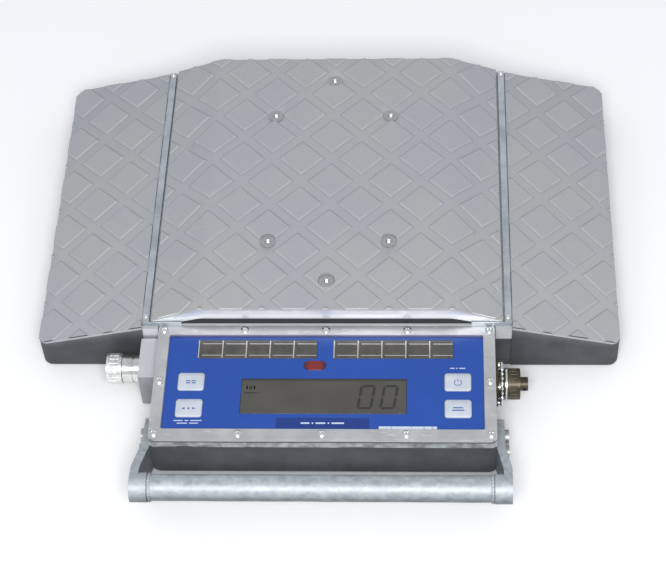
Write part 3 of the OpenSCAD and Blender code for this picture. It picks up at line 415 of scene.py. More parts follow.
def pads(surface, cuts):
    """Diamond pads on z = surface(x). Each is a square grid turned by 45 degrees that rises
    from its rim over the draft. Each cut is a point and an outward way in plan: what lies
    beyond it is sliced off, and the slice is closed."""
    step = np.arange(-6, 7)
    i, j, k = (a.ravel() for a in np.meshgrid(step, step, [0, 1]))
    centre = first_pad + np.stack([i + k / 2, -(j + k / 2)], -1) * pitch
    for point, outward in cuts:
        centre = centre[(centre - point) @ outward < pad_half]
    near = np.array([0, 0.15, 0.4, 0.65, 0.9, 1.0, 1.35]) * pad_draft * np.sqrt(2)
    half = np.concatenate([-pad_half + near, np.linspace(-0.78, -0.2, 4) * pad_half])
    side = np.concatenate([half, [0], -half[::-1]])
    a, b = np.meshgrid(side, side, indexing="ij")
    share = (pad_half - np.maximum(np.abs(a), np.abs(b))) / np.sqrt(2) / pad_draft
    share = np.clip(share, 0, 1)
    rise = pad_rise * share * share * (3 - 2 * share) - 0.0006 * (share == 0)
    x = centre[:, 0, None, None] + (a + b) / 2
    y = centre[:, 1, None, None] + (a - b) / 2
    grid = np.stack([x, y, surface(x) + rise], -1)
    n = len(side)
    row, column = np.meshgrid(np.arange(n - 1), np.arange(n - 1), indexing="ij")
    corner = row * n + column
    quads = np.stack([corner, corner + 1, corner + n + 1, corner + n], -1).reshape(-1, 4)
    rim = np.concatenate([np.arange(n - 1), np.arange(n - 1) * n + n - 1,
                          n * n - 1 - np.arange(n - 1), (n - 1 - np.arange(n - 1)) * n])
    first = np.arange(len(centre))[:, None, None] * n * n
    mesh = bpy.data.meshes.new("pads")
    mesh.from_pydata(grid.reshape(-1, 3).tolist(), [],
                     (quads + first).reshape(-1, 4).tolist() + (rim + first[:, 0]).tolist())
    work = bmesh.new()
    work.from_mesh(mesh)
    bpy.data.meshes.remove(mesh)
    for point, outward in cuts:
        bmesh.ops.bisect_plane(work, geom=work.verts[:] + work.edges[:] + work.faces[:],
                               plane_co=(*point, 0), plane_no=(*outward, 0), clear_outer=True)
        rims = [edge for edge in work.edges if edge.is_boundary]
        bmesh.ops.holes_fill(work, edges=rims, sides=0)
    work.verts.index_update()
    places = np.array([vert.co[:] for vert in work.verts])
    faces = [np.array([[vert.index for vert in face.verts]]) for face in work.faces]
    work.free()
    return places, faces


def ramp(side, node):
    """Rings round the plan outline up to the slope, its top face, the pads, and below a
    flat rim pierced by four drafted bays whose roofs follow the slope."""
    low, high = corners(node)
    inner, outer = sorted([abs(low[0]), abs(high[0])])
    y0, y1, z0, z1 = low[1], high[1], low[2], high[2] - pad_rise
    fall = (z1 - ramp_edge_h) / (outer - inner)
    top = lambda u: z1 - fall * (u - inner)
    turn = np.linspace(0, np.pi / 2, 8)
    arc = ramp_corner * np.stack([np.cos(turn), np.sin(turn)], -1)
    outline = np.concatenate([arc + (outer - ramp_corner, y1 - ramp_corner),
                              [[inner, y1], [inner, y0]],
                              arc[::-1] * (1, -1) + (outer - ramp_corner, y0 + ramp_corner)])
    rings = [np.column_stack([shrunk(outline, inset), np.full(len(outline), z)])
             for inset, z in ((0.0009, z0), (0.0002, z0 + 0.0004), (0, z0 + 0.0012))]
    for inset, drop in edge_round(ramp_round):
        ring = shrunk(outline, inset)
        rings.append(np.column_stack([ring, top(ring[:, 0]) - drop]))
    length = (y1 - y0 - ramp_wall) / ramp_bays
    shapes, holes = [skin(rings, (False, True))], []
    for bay in range(ramp_bays):
        middle = ((inner + outer) / 2, y0 + ramp_wall / 2 + (bay + 0.5) * length)
        hole = round_box(outer - inner - 2 * ramp_wall, length - ramp_wall, bay_corner, 4, middle)
        walls = [np.column_stack([hole, np.full(len(hole), z0)])]
        for inset, drop in edge_round(bay_round):
            ring = shrunk(hole, inset + bay_draft)
            walls.append(np.column_stack([ring, top(ring[:, 0]) - ramp_roof - drop]))
        shapes.append(skin(walls, (False, True)))
        holes.append(walls[0])
    loops = [rings[0]] + holes
    pieces = tessellate_polygon([[Vector(point) for point in loop] for loop in loops])
    shapes.append((np.concatenate(loops), [np.array(pieces)]))
    shapes = [(places * (side, 1, 1), groups) for places, groups in shapes]
    slant = np.array([side, 1]) / np.sqrt(2)
    bend = np.array([side * (outer - ramp_corner), y1 - ramp_corner])
    cuts = [(np.array([side * outer, 0]), np.array([side, 0])),
            (np.array([side * (inner + pad_gap), 0]), np.array([-side, 0])),
            (np.array([0, y1 - ramp_round]), np.array([0, 1])),
            (np.array([0, y0 + ramp_round]), np.array([0, -1])),
            (bend + slant * ramp_corner * 0.9, slant),
            (bend * (1, 0) + (0, y0 + ramp_corner) + slant * (1, -1) * ramp_corner * 0.9,
             slant * (1, -1))]
    shapes.append(pads(lambda x: top(np.abs(x)), cuts))
    return piece(node + "_casting", shapes, tread_skin, "base", [node], crease=50)


def round_box(width, depth, radius, steps=6, middle=(0.0, 0.0)):
    """A rectangle's outline with quarter-circle corners, anticlockwise."""
    turn = np.linspace(0, np.pi / 2, steps)
    quarter = radius * np.stack([np.cos(turn), np.sin(turn)], -1)
    outline = []
    for way in range(4):
        cos, sin = ((1, 0), (0, 1), (-1, 0), (0, -1))[way]
        spun = quarter @ np.array([[cos, sin], [-sin, cos]])
        sign = np.array([(1, 1), (-1, 1), (-1, -1), (1, -1)][way])
        outline.append(spun + sign * (width / 2 - radius, depth / 2 - radius))
    return np.concatenate(outline) + middle


tread_skin = casting("tread casting", tread_top, tread_side, tread=True)
ramp(-1, "ramp_left")
ramp(1, "ramp_right")

bolt_zinc = Paint("dull zinc plate", 0.42, Metallic=0.85)
bolt_zinc.set(Base_Color=bolt_zinc.mix(bolt_zinc.noise(160, 4), (0.34, 0.34, 0.33),
                                       (0.52, 0.52, 0.5)))
painted(bolt_zinc, "ramp_bolts", "arm_bolts", "block_bolts", "housing_bolts", "cell_screws",
        "stop_screws")

# ---- Side rails and rail screws -------------------------------------------------------
# Bright zinc-plated bars along both sides of the platform, each with a lip that turns
# along the front; two countersunk screws hold each bar down on the rim.
rail_zinc = Paint("blue zinc plate", 0.34, Metallic=0.75)
rail_cloud = rail_zinc.noise(38, 4, 0.6).ramp(0.3, 0.7)
rail_rub = rail_zinc.noise(700, 3, 0.6, rail_zinc.place(stretch=(1, 0.06, 1)))
rail_tone = rail_zinc.mix(rail_cloud, (0.42, 0.47, 0.51), (0.58, 0.63, 0.67))
rail_zinc.set(Base_Color=rail_zinc.mix(rail_rub.ramp(0.55, 0.8) * 0.5, rail_tone,
                                       (0.75, 0.78, 0.8)),
              Roughness=0.3 + rail_cloud * 0.14 + rail_rub * 0.1)
rail_zinc.bump(rail_rub, 0.00006, 0.5)
for node in ("rail_left", "rail_right"):
    softened(node, 0.0005, rail_zinc, "base", 3)

screw_zinc = Paint("bright zinc plate", 0.2, Metallic=0.95)
screw_zinc.set(Base_Color=screw_zinc.mix(screw_zinc.noise(420, 3), (0.66, 0.68, 0.68),
                                         (0.86, 0.87, 0.86)),
               Roughness=0.16 + screw_zinc.noise(900, 2) * 0.16)
softened("rail_screws", 0.00012, screw_zinc, "base")

# ---- Weighing platform ----------------------------------------------------------------
# One thick aluminium casting, flat on top and sloped down to the rails, with the ramps'
# diamond tread. Its front and back are milled bright; six flat-head screws pierce it.
platform_low, platform_high = corners("deck")
half_w, half_d = platform_high[0], platform_high[1]
crown_z = platform_high[2] - pad_rise
flat_half = 0.124
edge_bottom, edge_top = platform_low[2], platform_low[2] + 0.0038
belly_z, belly_half, belly_end = 0.070, 0.120, 0.150
crown_blend = 0.006
deck_round = 0.0008
pad_margin = 0.0009
sink_r, bore_r, sink_depth = 0.0084, 0.0043, 0.0041
triads = [(0, 0.1361), (0.0605, 0.0855), (-0.0605, 0.0855)]
triad_middle = 0.001


def crown_height(x):
    """Level out to flat_half, then straight down to the edge, joined by a parabola."""
    fall = (crown_z - edge_top) / (half_w - flat_half)
    past = np.abs(x) - flat_half
    bend = np.clip(past + crown_blend, 0, 2 * crown_blend) ** 2 / (4 * crown_blend)
    return crown_z - fall * (bend + np.clip(past - crown_blend, 0, None))


def platform():
    """The section across the platform carried from front to back with a small round at both
    ends, its pads added, and the screws' holes and countersinks cut."""
    x = np.concatenate([np.linspace(-half_w, -flat_half - crown_blend, 5)[:-1],
                        np.linspace(-flat_half - crown_blend, -flat_half + crown_blend, 9),
                        np.linspace(-flat_half + crown_blend, 0, 6)[1:]])
    x = np.concatenate([x, -x[-2::-1]])
    top = np.column_stack([x, crown_height(x)])[::-1]
    under = np.array([[-half_w, edge_bottom], [-belly_end, edge_bottom], [-belly_half, belly_z],
                      [belly_half, belly_z], [belly_end, edge_bottom], [half_w, edge_bottom]])
    section = np.concatenate([top, under])
    ends = edge_round(deck_round)
    stations = [(drop - half_d, inset) for inset, drop in ends[::-1]]
    stations += [(half_d - drop, inset) for inset, drop in ends]
    rings = [np.insert(shrunk(section, inset), 1, place, axis=1) for place, inset in stations]
    cuts = [(np.array([0, way * (half_d - pad_margin)]), np.array([0, way])) for way in (-1, 1)]
    cuts += [(np.array([way * (half_w - deck_round), 0]), np.array([way, 0])) for way in (-1, 1)]
    return piece("platform_casting", [skin(rings), pads(crown_height, cuts)], platform_skin,
                 "platform", ["deck"], crease=50)


def drilled(made, drills):
    """The piece with the drills' volume cut away, kept as a plain mesh."""
    holes = made.modifiers.new("holes", "BOOLEAN")
    holes.object, holes.solver, holes.use_self = drills, "EXACT", True
    bpy.context.view_layer.update()
    graph = bpy.context.evaluated_depsgraph_get()
    cut = bpy.data.meshes.new_from_object(made.evaluated_get(graph))
    made.modifiers.clear()
    made.data = cut
    bpy.data.objects.remove(drills)
    cut.shade_smooth()
    cut.set_sharp_from_angle(angle=np.radians(50))


def turned(profile, middle, axis="Z", steps=48, caps=(True, True)):
    """A profile of radius and height turned round an axis through a point."""
    angle = np.linspace(0, 2 * np.pi, steps, endpoint=False)
    profile = np.asarray(profile, float)
    flat = profile[:, :1, None] * np.stack([np.cos(angle), np.sin(angle)], -1)
    height = np.broadcast_to(profile[:, 1, None, None], (len(profile), steps, 1))
    rings = np.concatenate([flat, height], -1)
    order = {"Z": [0, 1, 2], "X": [2, 0, 1], "Y": [1, 2, 0]}[axis]
    return skin(rings[..., order] + np.asarray(middle, float), caps)


platform_skin = casting("platform casting", tread_top, tread_side, tread=True, milled=half_d)
deck_piece = platform()
screw_places = [(x, triad_middle + way * y) for way in (-1, 1) for x, y in triads]
drill_shapes = [turned([(0.0001, 0.06), (bore_r, 0.06), (bore_r, crown_z - sink_depth),
                        (sink_r, crown_z), (sink_r, crown_z + 0.004), (0.0001, crown_z + 0.004)],
                       (x, y, 0)) for x, y in screw_places]
drill_bits = piece("drills", drill_shapes, platform_skin, "platform")
drilled(deck_piece, drill_bits)
deck_zinc = Paint("worn zinc plate", 0.24, Metallic=0.9)
deck_zinc.set(Base_Color=deck_zinc.mix(deck_zinc.noise(420, 3), (0.36, 0.38, 0.38),
                                       (0.62, 0.65, 0.63)),
              Roughness=0.2 + deck_zinc.noise(900, 2) * 0.16)
softened("deck_screws", 0.00025, deck_zinc, "platform", 3)

# ---- Load cells and spreaders ---------------------------------------------------------
# Two machined steel cans on the base's floor carry the platform through steel spreaders;
# their black signal cables run forward through the base's wall.
machined = Paint("machined steel", 0.32, Metallic=0.9)
turning = machined.noise(260, 3, 0.6, machined.place(stretch=(1, 1, 5)))
machined.set(Base_Color=machined.mix(turning, (0.38, 0.38, 0.39), (0.6, 0.6, 0.61)),
             Roughness=0.28 + turning * 0.2)
for node in ("spreader_front", "spreader_rear"):
    softened(node, 0.0008, machined, "platform")
for node in ("cell_front", "cell_rear"):
    softened(node, 0.0008, machined, "base")
cable_skin = Paint("cable jacket", 0.5)
cable_skin.set(Base_Color=cable_skin.mix(cable_skin.noise(150, 3), (0.012, 0.012, 0.013),
                                         (0.035, 0.035, 0.036)))
painted(cable_skin, "cell_cables")

# ---- Indicator housing ----------------------------------------------------------------
# A deep cast box bolted to the base's front wall. Its walls are painted dark as shade, and
# the pale, uneven band along the lip below the panel is a painted highlight on the rim.
lip_h = 0.0072
lip_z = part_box("housing")[1][2] - lip_h


def lip_highlit_casting():
    """The casting, its walls painted dark as shade, with a painted highlight: a pale band along its
    lip whose edge wanders.
    """
    coat = casting("housing casting", (0.36, 0.37, 0.39), (0.055, 0.059, 0.064))
    wander = coat.noise(26, 3, 0.6, coat.place(stretch=(1, 1, 0.1))) - 0.5
    # The pale band is a painted highlight along the rim.
    band = (coat.axis("Z") - lip_z - wander * 0.009).ramp(-0.0008, 0.0012)
    shaded = coat.shader.inputs["Base Color"].links[0].from_socket
    pale = coat.mix(coat.noise(90, 4).ramp(0.3, 0.7), (0.2, 0.21, 0.22), (0.5, 0.52, 0.54))
    coat.set(Base_Color=coat.mix(band * 0.85, Value(coat, shaded), pale))
    return coat


housing_skin = lip_highlit_casting()
softened("housing", 0.0011, housing_skin, "base", 3)
# The door's walls take its darker side tone: painted shade.
door_skin = casting("battery door", (0.3, 0.31, 0.32), (0.16, 0.165, 0.17))
painted(door_skin, "battery_door")
softened("door_screws", 0.0001, screw_zinc, "base")

# ---- Inside the housing ---------------------------------------------------------------
# A shrink-wrapped battery on its door, brass posts, the main board with its parts, and a
# small board with two switches under each pair of keys.
wrap = Paint("shrink wrap", 0.25)
wrap.set(Base_Color=wrap.mix(wrap.noise(60, 3), (0.03, 0.12, 0.42), (0.05, 0.17, 0.55)))
wrap.bump(wrap.noise(140, 3, 0.6, wrap.place(stretch=(1, 0.15, 1))), 0.0003, 0.6)
painted(wrap, "battery_pack")
brass = Paint("brass", 0.3, Metallic=0.95)
brass.set(Base_Color=brass.mix(brass.noise(300, 3), (0.55, 0.38, 0.13), (0.75, 0.56, 0.25)))
painted(brass, "board_posts", "key_standoffs")
mask = Paint("solder mask", 0.35)
track_x = (mask.axis("X") * 190).fraction().ramp(0.42, 0.5)
track_y = (mask.axis("Y") * 230).fraction().ramp(0.45, 0.53)
tracks = track_x * track_y * mask.noise(30, 2).ramp(0.45, 0.5)
mask.set(Base_Color=mask.mix(tracks, (0.01, 0.11, 0.03), (0.03, 0.2, 0.06)))
painted(mask, "main_board", "key_boards")
chip = Paint("moulded epoxy", 0.55)
chip.set(Base_Color=chip.mix(chip.noise(800, 2), (0.012, 0.012, 0.013), (0.03, 0.03, 0.031)))
chip.bump(chip.noise(1500, 2), 0.00005, 0.5)
painted(chip, "board_parts", "key_switches", "lcd_module")

# ---- Panel gasket and plate -----------------------------------------------------------
# A black sponge gasket lies on the rim; the aluminium plate above it carries everything
# that the user sees.
painted(rubber, "panel_gasket")
plate_skin = Paint("mill finish plate", 0.4, Metallic=0.8)
plate_skin.set(Base_Color=plate_skin.mix(plate_skin.noise(200, 3), (0.5, 0.51, 0.52),
                                         (0.66, 0.67, 0.68)))
painted(plate_skin, "panel_plate")

# ---- Overlay --------------------------------------------------------------------------
# A printed polyester sheet inside the bezel, blue with a darker band at its top edge, partly
# print and partly the bezel's painted shadow, and a dark strip below the display; the small
# print on it is only dashes.
overlay_low, overlay_high = corners("overlay")
panel_middle = (overlay_low + overlay_high) / 2
print_z = overlay_high[2]
ink_rise = 0.00004
strip_middle, strip_size = (0.0, panel_middle[1] - 0.047), (0.088, 0.0118)
label_middle, label_size = (0.0808, panel_middle[1] - 0.0531), (0.0548, 0.0052)

sheet_blue = Paint("blue polyester", 0.36, Coat_Weight=0.1, Coat_Roughness=0.12)
print_grain = sheet_blue.noise(900, 3, 0.6)
cloud = sheet_blue.noise(14, 3).ramp(0.3, 0.7)
blue = sheet_blue.mix(cloud, (0.006, 0.056, 0.32), (0.009, 0.064, 0.35))
# The darker band along the top edge is partly print and partly the painted shadow of the bezel's
# top bar.
top_band_and_shadow = (sheet_blue.axis("Y") - overlay_high[1] + 0.0028).ramp(0, 0.0004)
strip_x = ((sheet_blue.axis("X") - strip_middle[0]).size() - strip_size[0] / 2).ramp(0, 0.0003)
strip_y = ((sheet_blue.axis("Y") - strip_middle[1]).size() - strip_size[1] / 2).ramp(0, 0.0003)
in_strip = (1 - strip_x) * (1 - strip_y)
blue = sheet_blue.mix(top_band_and_shadow.at_least(in_strip), blue, (0.003, 0.026, 0.19))
sheet_blue.set(Base_Color=sheet_blue.mix(print_grain * 0.16, blue, (0.02, 0.09, 0.42)),
               Roughness=0.3 + print_grain * 0.12)
sheet_blue.bump(print_grain, 0.00003, 0.4)
softened("overlay", 0.00018, sheet_blue, "base")

white_ink = Paint("white ink", 0.45)
white_ink.set(Base_Color=white_ink.mix(white_ink.noise(1200, 2), (0.45, 0.52, 0.66),
                                       (0.62, 0.68, 0.78)))
blue_ink = Paint("blue ink", 0.45)
blue_ink.set(Base_Color=blue_ink.mix(blue_ink.noise(1200, 2), (0.03, 0.08, 0.32),
                                     (0.06, 0.13, 0.42)))


def printed(outline, z, rise=ink_rise):
    """A flat mark: its outline in plan from just below z up to z plus the ink's rise."""
    outline = np.asarray(outline, float)
    return skin([np.insert(outline, 2, height, axis=1) for height in (z - rise, z + rise)])


def dashes(lengths, middle, gap, height, z):
    """A row of short bars centred on middle, one for each length."""
    start = middle[0] - (sum(lengths) + gap * (len(lengths) - 1)) / 2
    marks = []
    for length in lengths:
        marks.append(printed(round_box(length, height, height * 0.3, 3,
                                       (start + length / 2, middle[1])), z))
        start += length + gap
    return marks


key_spots = {node: sum(corners(node)) / 2
             for node in ("key_unit", "key_total", "key_power", "key_print")}
small_print = dashes([0.009, 0.0035, 0.011], (key_spots["key_total"][0], overlay_low[1] + 0.0105),
                     0.0018, 0.0011, print_z)
small_print += dashes([0.010, 0.0085], (key_spots["key_total"][0], overlay_low[1] + 0.0075),
                      0.0018, 0.0011, print_z)
small_print += dashes([0.0045, 0.0015, 0.006], (key_spots["key_power"][0],
                      key_spots["key_power"][1] + 0.0165), 0.0014, 0.0011, print_z)
small_print += dashes([0.0085, 0.0016, 0.0095, 0.0016, 0.012], strip_middle, 0.002, 0.0017,
                      print_z)
piece("overlay_print", small_print, white_ink, "base")
label_paint = Paint("white label", 0.4)
label_lines = label_paint.noise(260, 2, 0.5, label_paint.place(stretch=(1.5, 0.2, 1)))
label_paint.set(Base_Color=label_paint.mix(label_lines.ramp(0.52, 0.62) * 0.55,
                                           (0.6, 0.66, 0.75), (0.2, 0.28, 0.5)))
piece("overlay_label", [printed(round_box(*label_size, 0.0004, 3, label_middle), print_z,
                                0.00008)], label_paint, "base")

# ---- Bezel and its screws -------------------------------------------------------------
# A brushed aluminium frame that clamps the overlay, held by twelve round-head screws with
# crossed slots.
brushed = Paint("brushed aluminium", 0.36, Metallic=0.62)
along_x = brushed.noise(420, 3, 0.6, brushed.place(stretch=(0.05, 1, 1)))
worn = brushed.noise(30, 4).ramp(0.35, 0.7)
scratch = brushed.noise(240, 2, 0.5, brushed.place(stretch=(0.2, 1, 1),
                                                   turn=(0, 0, 0.6))).ramp(0.66, 0.7)
satin = brushed.mix(worn, (0.50, 0.50, 0.51), (0.62, 0.62, 0.63))
brushed.set(Base_Color=brushed.mix(scratch * 0.5, satin, (0.8, 0.8, 0.8)),
            Roughness=0.33 + along_x * 0.16)
brushed.bump(along_x, 0.00004, 0.45)
softened("bezel", 0.0006, brushed, "base", 3)
softened("bezel_screws", 0.00012, screw_zinc, "base")

# ---- Solar strips and infrared window -------------------------------------------------
# Two strips of five brown silicon cells under glass, joined by silvered bars, charge the
# battery; between them sits the dark red lens of the remote control's receiver.
cell_glass = Paint("silicon under glass", 0.28, Coat_Weight=0.6, Coat_Roughness=0.05)
cell_count = 5
crystal = cell_glass.noise(70, 3, 0.6).ramp(0.32, 0.68)
grain = cell_glass.noise(1400, 2, 0.6)
cell_tone = cell_glass.mix(crystal, (0.044, 0.038, 0.038), (0.085, 0.066, 0.058))
cell_glass.set(Base_Color=cell_glass.mix(grain * 0.3, cell_tone, (0.05, 0.085, 0.075)))
silvered = Paint("silvered bars", 0.3, Metallic=0.7)
silvered.set(Base_Color=silvered.mix(silvered.noise(900, 2), (0.55, 0.53, 0.48),
                                     (0.78, 0.76, 0.70)))
for node in ("solar_left", "solar_right"):
    softened(node, 0.00025, cell_glass, "base")
    low, high = corners(node)
    low, high = low + 0.0013, high - 0.0013
    middle = (low + high) / 2
    width, depth = high[0] - low[0], high[1] - low[1]
    bars = []
    for i in range(cell_count):
        left = low[0] + 0.0005 + i * width / cell_count
        bars.append(printed(round_box(0.0010, depth - 0.001, 0.0002, 2, (left, middle[1])),
                            print_z))
        right = low[0] + (i + 1) * width / cell_count - 0.0003
        for share in (0.17, 0.80):
            place = ((left + 0.003 + right) / 2, low[1] + share * depth)
            bars.append(printed(round_box(right - left - 0.003, 0.0007, 0.0002, 2, place),
                                print_z))
    piece(node + "_bars", bars, silvered, "base")

red_lens = Paint("red lens", 0.18, Coat_Weight=0.5, Coat_Roughness=0.05)
lens_low, lens_high = corners("ir_window")
lens_middle = (lens_low + lens_high) / 2
from_centre = (red_lens.axis("X") - lens_middle[0]).size() / (lens_high[0] - lens_middle[0])
red_lens.set(Base_Color=red_lens.mix(from_centre.ramp(0.35, 0.85), (0.20, 0.008, 0.006),
                                     (0.055, 0.004, 0.006)))
red_lens.bump(red_lens.noise(300, 2), 0.00004, 0.4)
softened("ir_window", 0.0004, red_lens, "base", 3)

# ---- Display --------------------------------------------------------------------------
# A reflective liquid-crystal display behind a hard-coated window, sunk a little below the
# overlay. Two zeros and the small status bars are dark crystal.
lcd_low, lcd_high = corners("lcd_lens")
lcd_rim = 0.0013
lcd_low, lcd_high = lcd_low + lcd_rim, lcd_high - (lcd_rim, lcd_rim, 0)
digit_h, digit_w, stroke, digit_step, slant = 0.0282, 0.0152, 0.0027, 0.0218, 0.14

glass = Paint("display glass", 0.22, Coat_Weight=0.45, Coat_Roughness=0.06)
shade = (glass.axis("Y") - lcd_high[1] + 0.0045).ramp(0, 0.004)
mottle = glass.noise(40, 3).ramp(0.3, 0.7)
glass_tone = glass.mix(mottle, (0.058, 0.054, 0.045), (0.070, 0.065, 0.054))
glass.set(Base_Color=glass.mix(shade, glass_tone, (0.028, 0.026, 0.022)))
softened("lcd_lens", 0.0003, glass, "base")
crystal_ink = Paint("dark crystal", 0.3, Coat_Weight=0.4)
crystal_ink.set(Base_Color=crystal_ink.mix(crystal_ink.noise(500, 2), (0.012, 0.012, 0.010),
                                           (0.024, 0.023, 0.020)))


def stroke_bar(start, end):
    """One segment: a bar with pointed ends from start to end."""
    start, end = np.array(start, float), np.array(end, float)
    along = (end - start) / np.linalg.norm(end - start)
    aside = np.array([-along[1], along[0]]) * stroke / 2
    tip = along * stroke / 2
    start, end = start + along * 0.0003, end - along * 0.0003
    return np.array([start, start + tip - aside, end - tip - aside, end, end - tip + aside,
                     start + tip + aside])


def digit(segments, middle):
    """A slanted seven-segment digit; segments lists its lit bars from top to bottom."""
    w, h = digit_w / 2 - stroke / 2, digit_h / 2 - stroke / 2
    ends = {"top": ((-w, h), (w, h)), "left_up": ((-w, 0), (-w, h)), "right_up": ((w, 0), (w, h)),
            "middle": ((-w, 0), (w, 0)), "left_low": ((-w, -h), (-w, 0)),
            "right_low": ((w, -h), (w, 0)), "bottom": ((-w, -h), (w, -h))}
    bars = []
    for name in segments:
        bar = stroke_bar(*ends[name])
        bar[:, 0] += bar[:, 1] * slant
        bars.append(printed(bar + middle, lcd_high[2]))
    return bars


zero = ("top", "left_up", "right_up", "left_low", "right_low", "bottom")
digits_y = (lcd_low[1] + lcd_high[1]) / 2 - 0.0009
marks = []
for i in range(2):
    marks += digit(zero, (lcd_high[0] - 0.0165 - i * digit_step, digits_y))
status_x = lcd_low[0] + 0.009
marks += dashes([0.0014, 0.0032, 0.0014], (status_x, lcd_high[1] - 0.0105), 0.0012, 0.0042,
                lcd_high[2])
marks += dashes([0.0115, 0.0016], (status_x + 0.001, lcd_high[1] - 0.0165), 0.0008, 0.0013,
                lcd_high[2])
piece("lcd_figures", marks, crystal_ink, "base")

# ---- Keys -----------------------------------------------------------------------------
# Four moulded keys with domed tops and a wide slope at the back; their signs are printed
# in blue. Each slides down onto its switch.
key_flange, key_flange_t = 0.002, 0.0016
key_corner, key_edge, back_fall = 0.003, 0.0016, 0.0011

key_plastic = Paint("pale key plastic", 0.42, Coat_Weight=0.15, Coat_Roughness=0.3)
key_touch = key_plastic.noise(55, 3).ramp(0.3, 0.7)
key_plastic.set(Base_Color=key_plastic.mix(key_touch, (0.50, 0.54, 0.60), (0.57, 0.61, 0.67)),
                Roughness=0.38 + key_plastic.noise(1300, 2) * 0.14)
key_plastic.bump(key_plastic.noise(1800, 2), 0.00002, 0.5)


def key(node, signs):
    """Rings from the hidden flange up the shaft, round the edge and over a shallow dome
    whose back third slopes down."""
    low, high = corners(node)
    middle = (low + high) / 2
    width, depth = high[0] - low[0] - 2 * key_flange, high[1] - low[1] - 2 * key_flange
    flange = low[2] + key_flange_t
    rings = []
    for grow, z in ((key_flange, low[2]), (key_flange, flange), (0, flange),
                    (0, high[2] - key_edge)):
        outline = round_box(width + 2 * grow, depth + 2 * grow, key_corner, 8)
        rings.append(np.insert(outline, 2, z, axis=1))
    outline = round_box(width, depth, key_corner, 8)
    for inset, drop in ((0.0002, 0.0009), (0.0008, 0.00045), (0.0018, 0.00018),
                        (0.0045, 0.00004), (0.0085, 0)):
        share = np.array([1 - 2 * inset / width, 1 - 2 * inset / depth])
        ring = outline * share
        back = np.clip((ring[:, 1] - depth * 0.30) / (depth * 0.2), 0, 1)
        rings.append(np.column_stack([ring, high[2] - drop - back_fall * back ** 1.5]))
    rings = [ring + (middle[0], middle[1], 0) for ring in rings]
    piece(node + "_cap", [skin(rings)], key_plastic, node, [node], crease=40)
    spot = middle[:2] - (0, 0.0012)
    shapes = [printed(np.asarray(sign) + spot, high[2] - 0.00002) for sign in signs]
    piece(node + "_sign", shapes, blue_ink, node)


def power_sign(radius=0.0034, line=0.0007):
    """A ring left open at its top, as one band, and a short upright bar."""
    angle = np.radians(np.linspace(125, 415, 30))
    way = np.stack([np.cos(angle), np.sin(angle)], -1)
    band = np.concatenate([way * (radius + line / 2), way[::-1] * (radius - line / 2)])
    return [band[::-1], round_box(line, 0.0036, 0.0003, 3, (0, 0.0023))]


arrow = np.array([(0.0014, -0.0012), (0.0014, 0.0012), (-0.0018, 0)])
rows = [round_box(length, 0.0012, 0.0003, 3, (x, y))
        for x, y, length in ((-0.0028, 0.0012, 0.0042), (0.0026, 0.0012, 0.0046),
                             (-0.0026, -0.0012, 0.0046), (0.0030, -0.0012, 0.0038))]
key("key_unit", rows)
key("key_total", [arrow - (0.005, 0), round_box(0.0018, 0.0018, 0.0003, 3),
                  arrow * (-1, 1) + (0.005, 0)])
key("key_power", power_sign())
key("key_print", [round_box(0.0098, 0.0013, 0.0003, 3, (0, 0.0014)),
                  round_box(0.0120, 0.0013, 0.0003, 3, (0, -0.0014))])

# ---- Charging port --------------------------------------------------------------------
# An aluminium block beside the housing carries a nickel-plated port; its ribbed cap
# screws on over a rubber washer.
# The block's walls take its darker side tone: painted shade.
block_skin = casting("port block", (0.5, 0.51, 0.54), (0.26, 0.27, 0.29))
softened("port_block", 0.0009, block_skin, "base", 3)
nickel = Paint("nickel plate", 0.16, Metallic=1.0)
nickel_cloud = nickel.noise(90, 3).ramp(0.3, 0.7)
nickel.set(Base_Color=nickel.mix(nickel_cloud, (0.66, 0.66, 0.65), (0.85, 0.85, 0.84)),
           Roughness=0.14 + nickel_cloud * 0.1 + nickel.noise(800, 2) * 0.08)
softened("charge_port", 0.0005, nickel, "base", 3)
cap_metal = Paint("satin nickel", 0.3, Metallic=0.8)
cap_rub = cap_metal.noise(300, 4, 0.65).ramp(0.35, 0.7)
cap_metal.set(Base_Color=cap_metal.mix(cap_rub, (0.62, 0.62, 0.61), (0.9, 0.9, 0.89)),
              Roughness=0.26 + cap_rub * 0.16)
cap_metal.bump(cap_metal.noise(900, 2), 0.00004, 0.5)
softened("port_cap", 0.0006, cap_metal, "port_cap", 3)
painted(rubber, "port_washer")

# ---- Data connector -------------------------------------------------------------------
# A square-flanged connector in olive chromate with a dust cap that hangs on a bead chain.
olive = Paint("olive chromate", 0.4, Metallic=0.6)
olive_wear = olive.noise(140, 4, 0.65).ramp(0.42, 0.7)
olive_tone = olive.mix(olive.noise(20, 3), (0.045, 0.038, 0.024), (0.078, 0.064, 0.040))
olive.set(Base_Color=olive.mix(olive_wear * 0.6, olive_tone, (0.15, 0.127, 0.088)),
          Roughness=0.34 + olive_wear * 0.16)
olive.bump(olive.noise(700, 3), 0.00005, 0.5)
softened("data_connector", 0.0004, olive, "base")
softened("dust_cap", 0.0004, olive, "dust_cap", 3)
softened("connector_screws", 0.0001, screw_zinc, "base")
painted(screw_zinc, "cap_ring", "cap_chain")

# ---- Handle ---------------------------------------------------------------------------
# A galvanised steel tube between two bent plate arms bolted to the housing. Its ends are
# welded into the arms' collars, with an uneven bead all round.
tube_low, tube_high = corners("handle_tube")
tube_middle = (tube_low + tube_high) / 2
tube_r = (tube_high[2] - tube_low[2]) / 2
tube_wall = 0.003
weld_w = 0.0036
weld_drops = 26

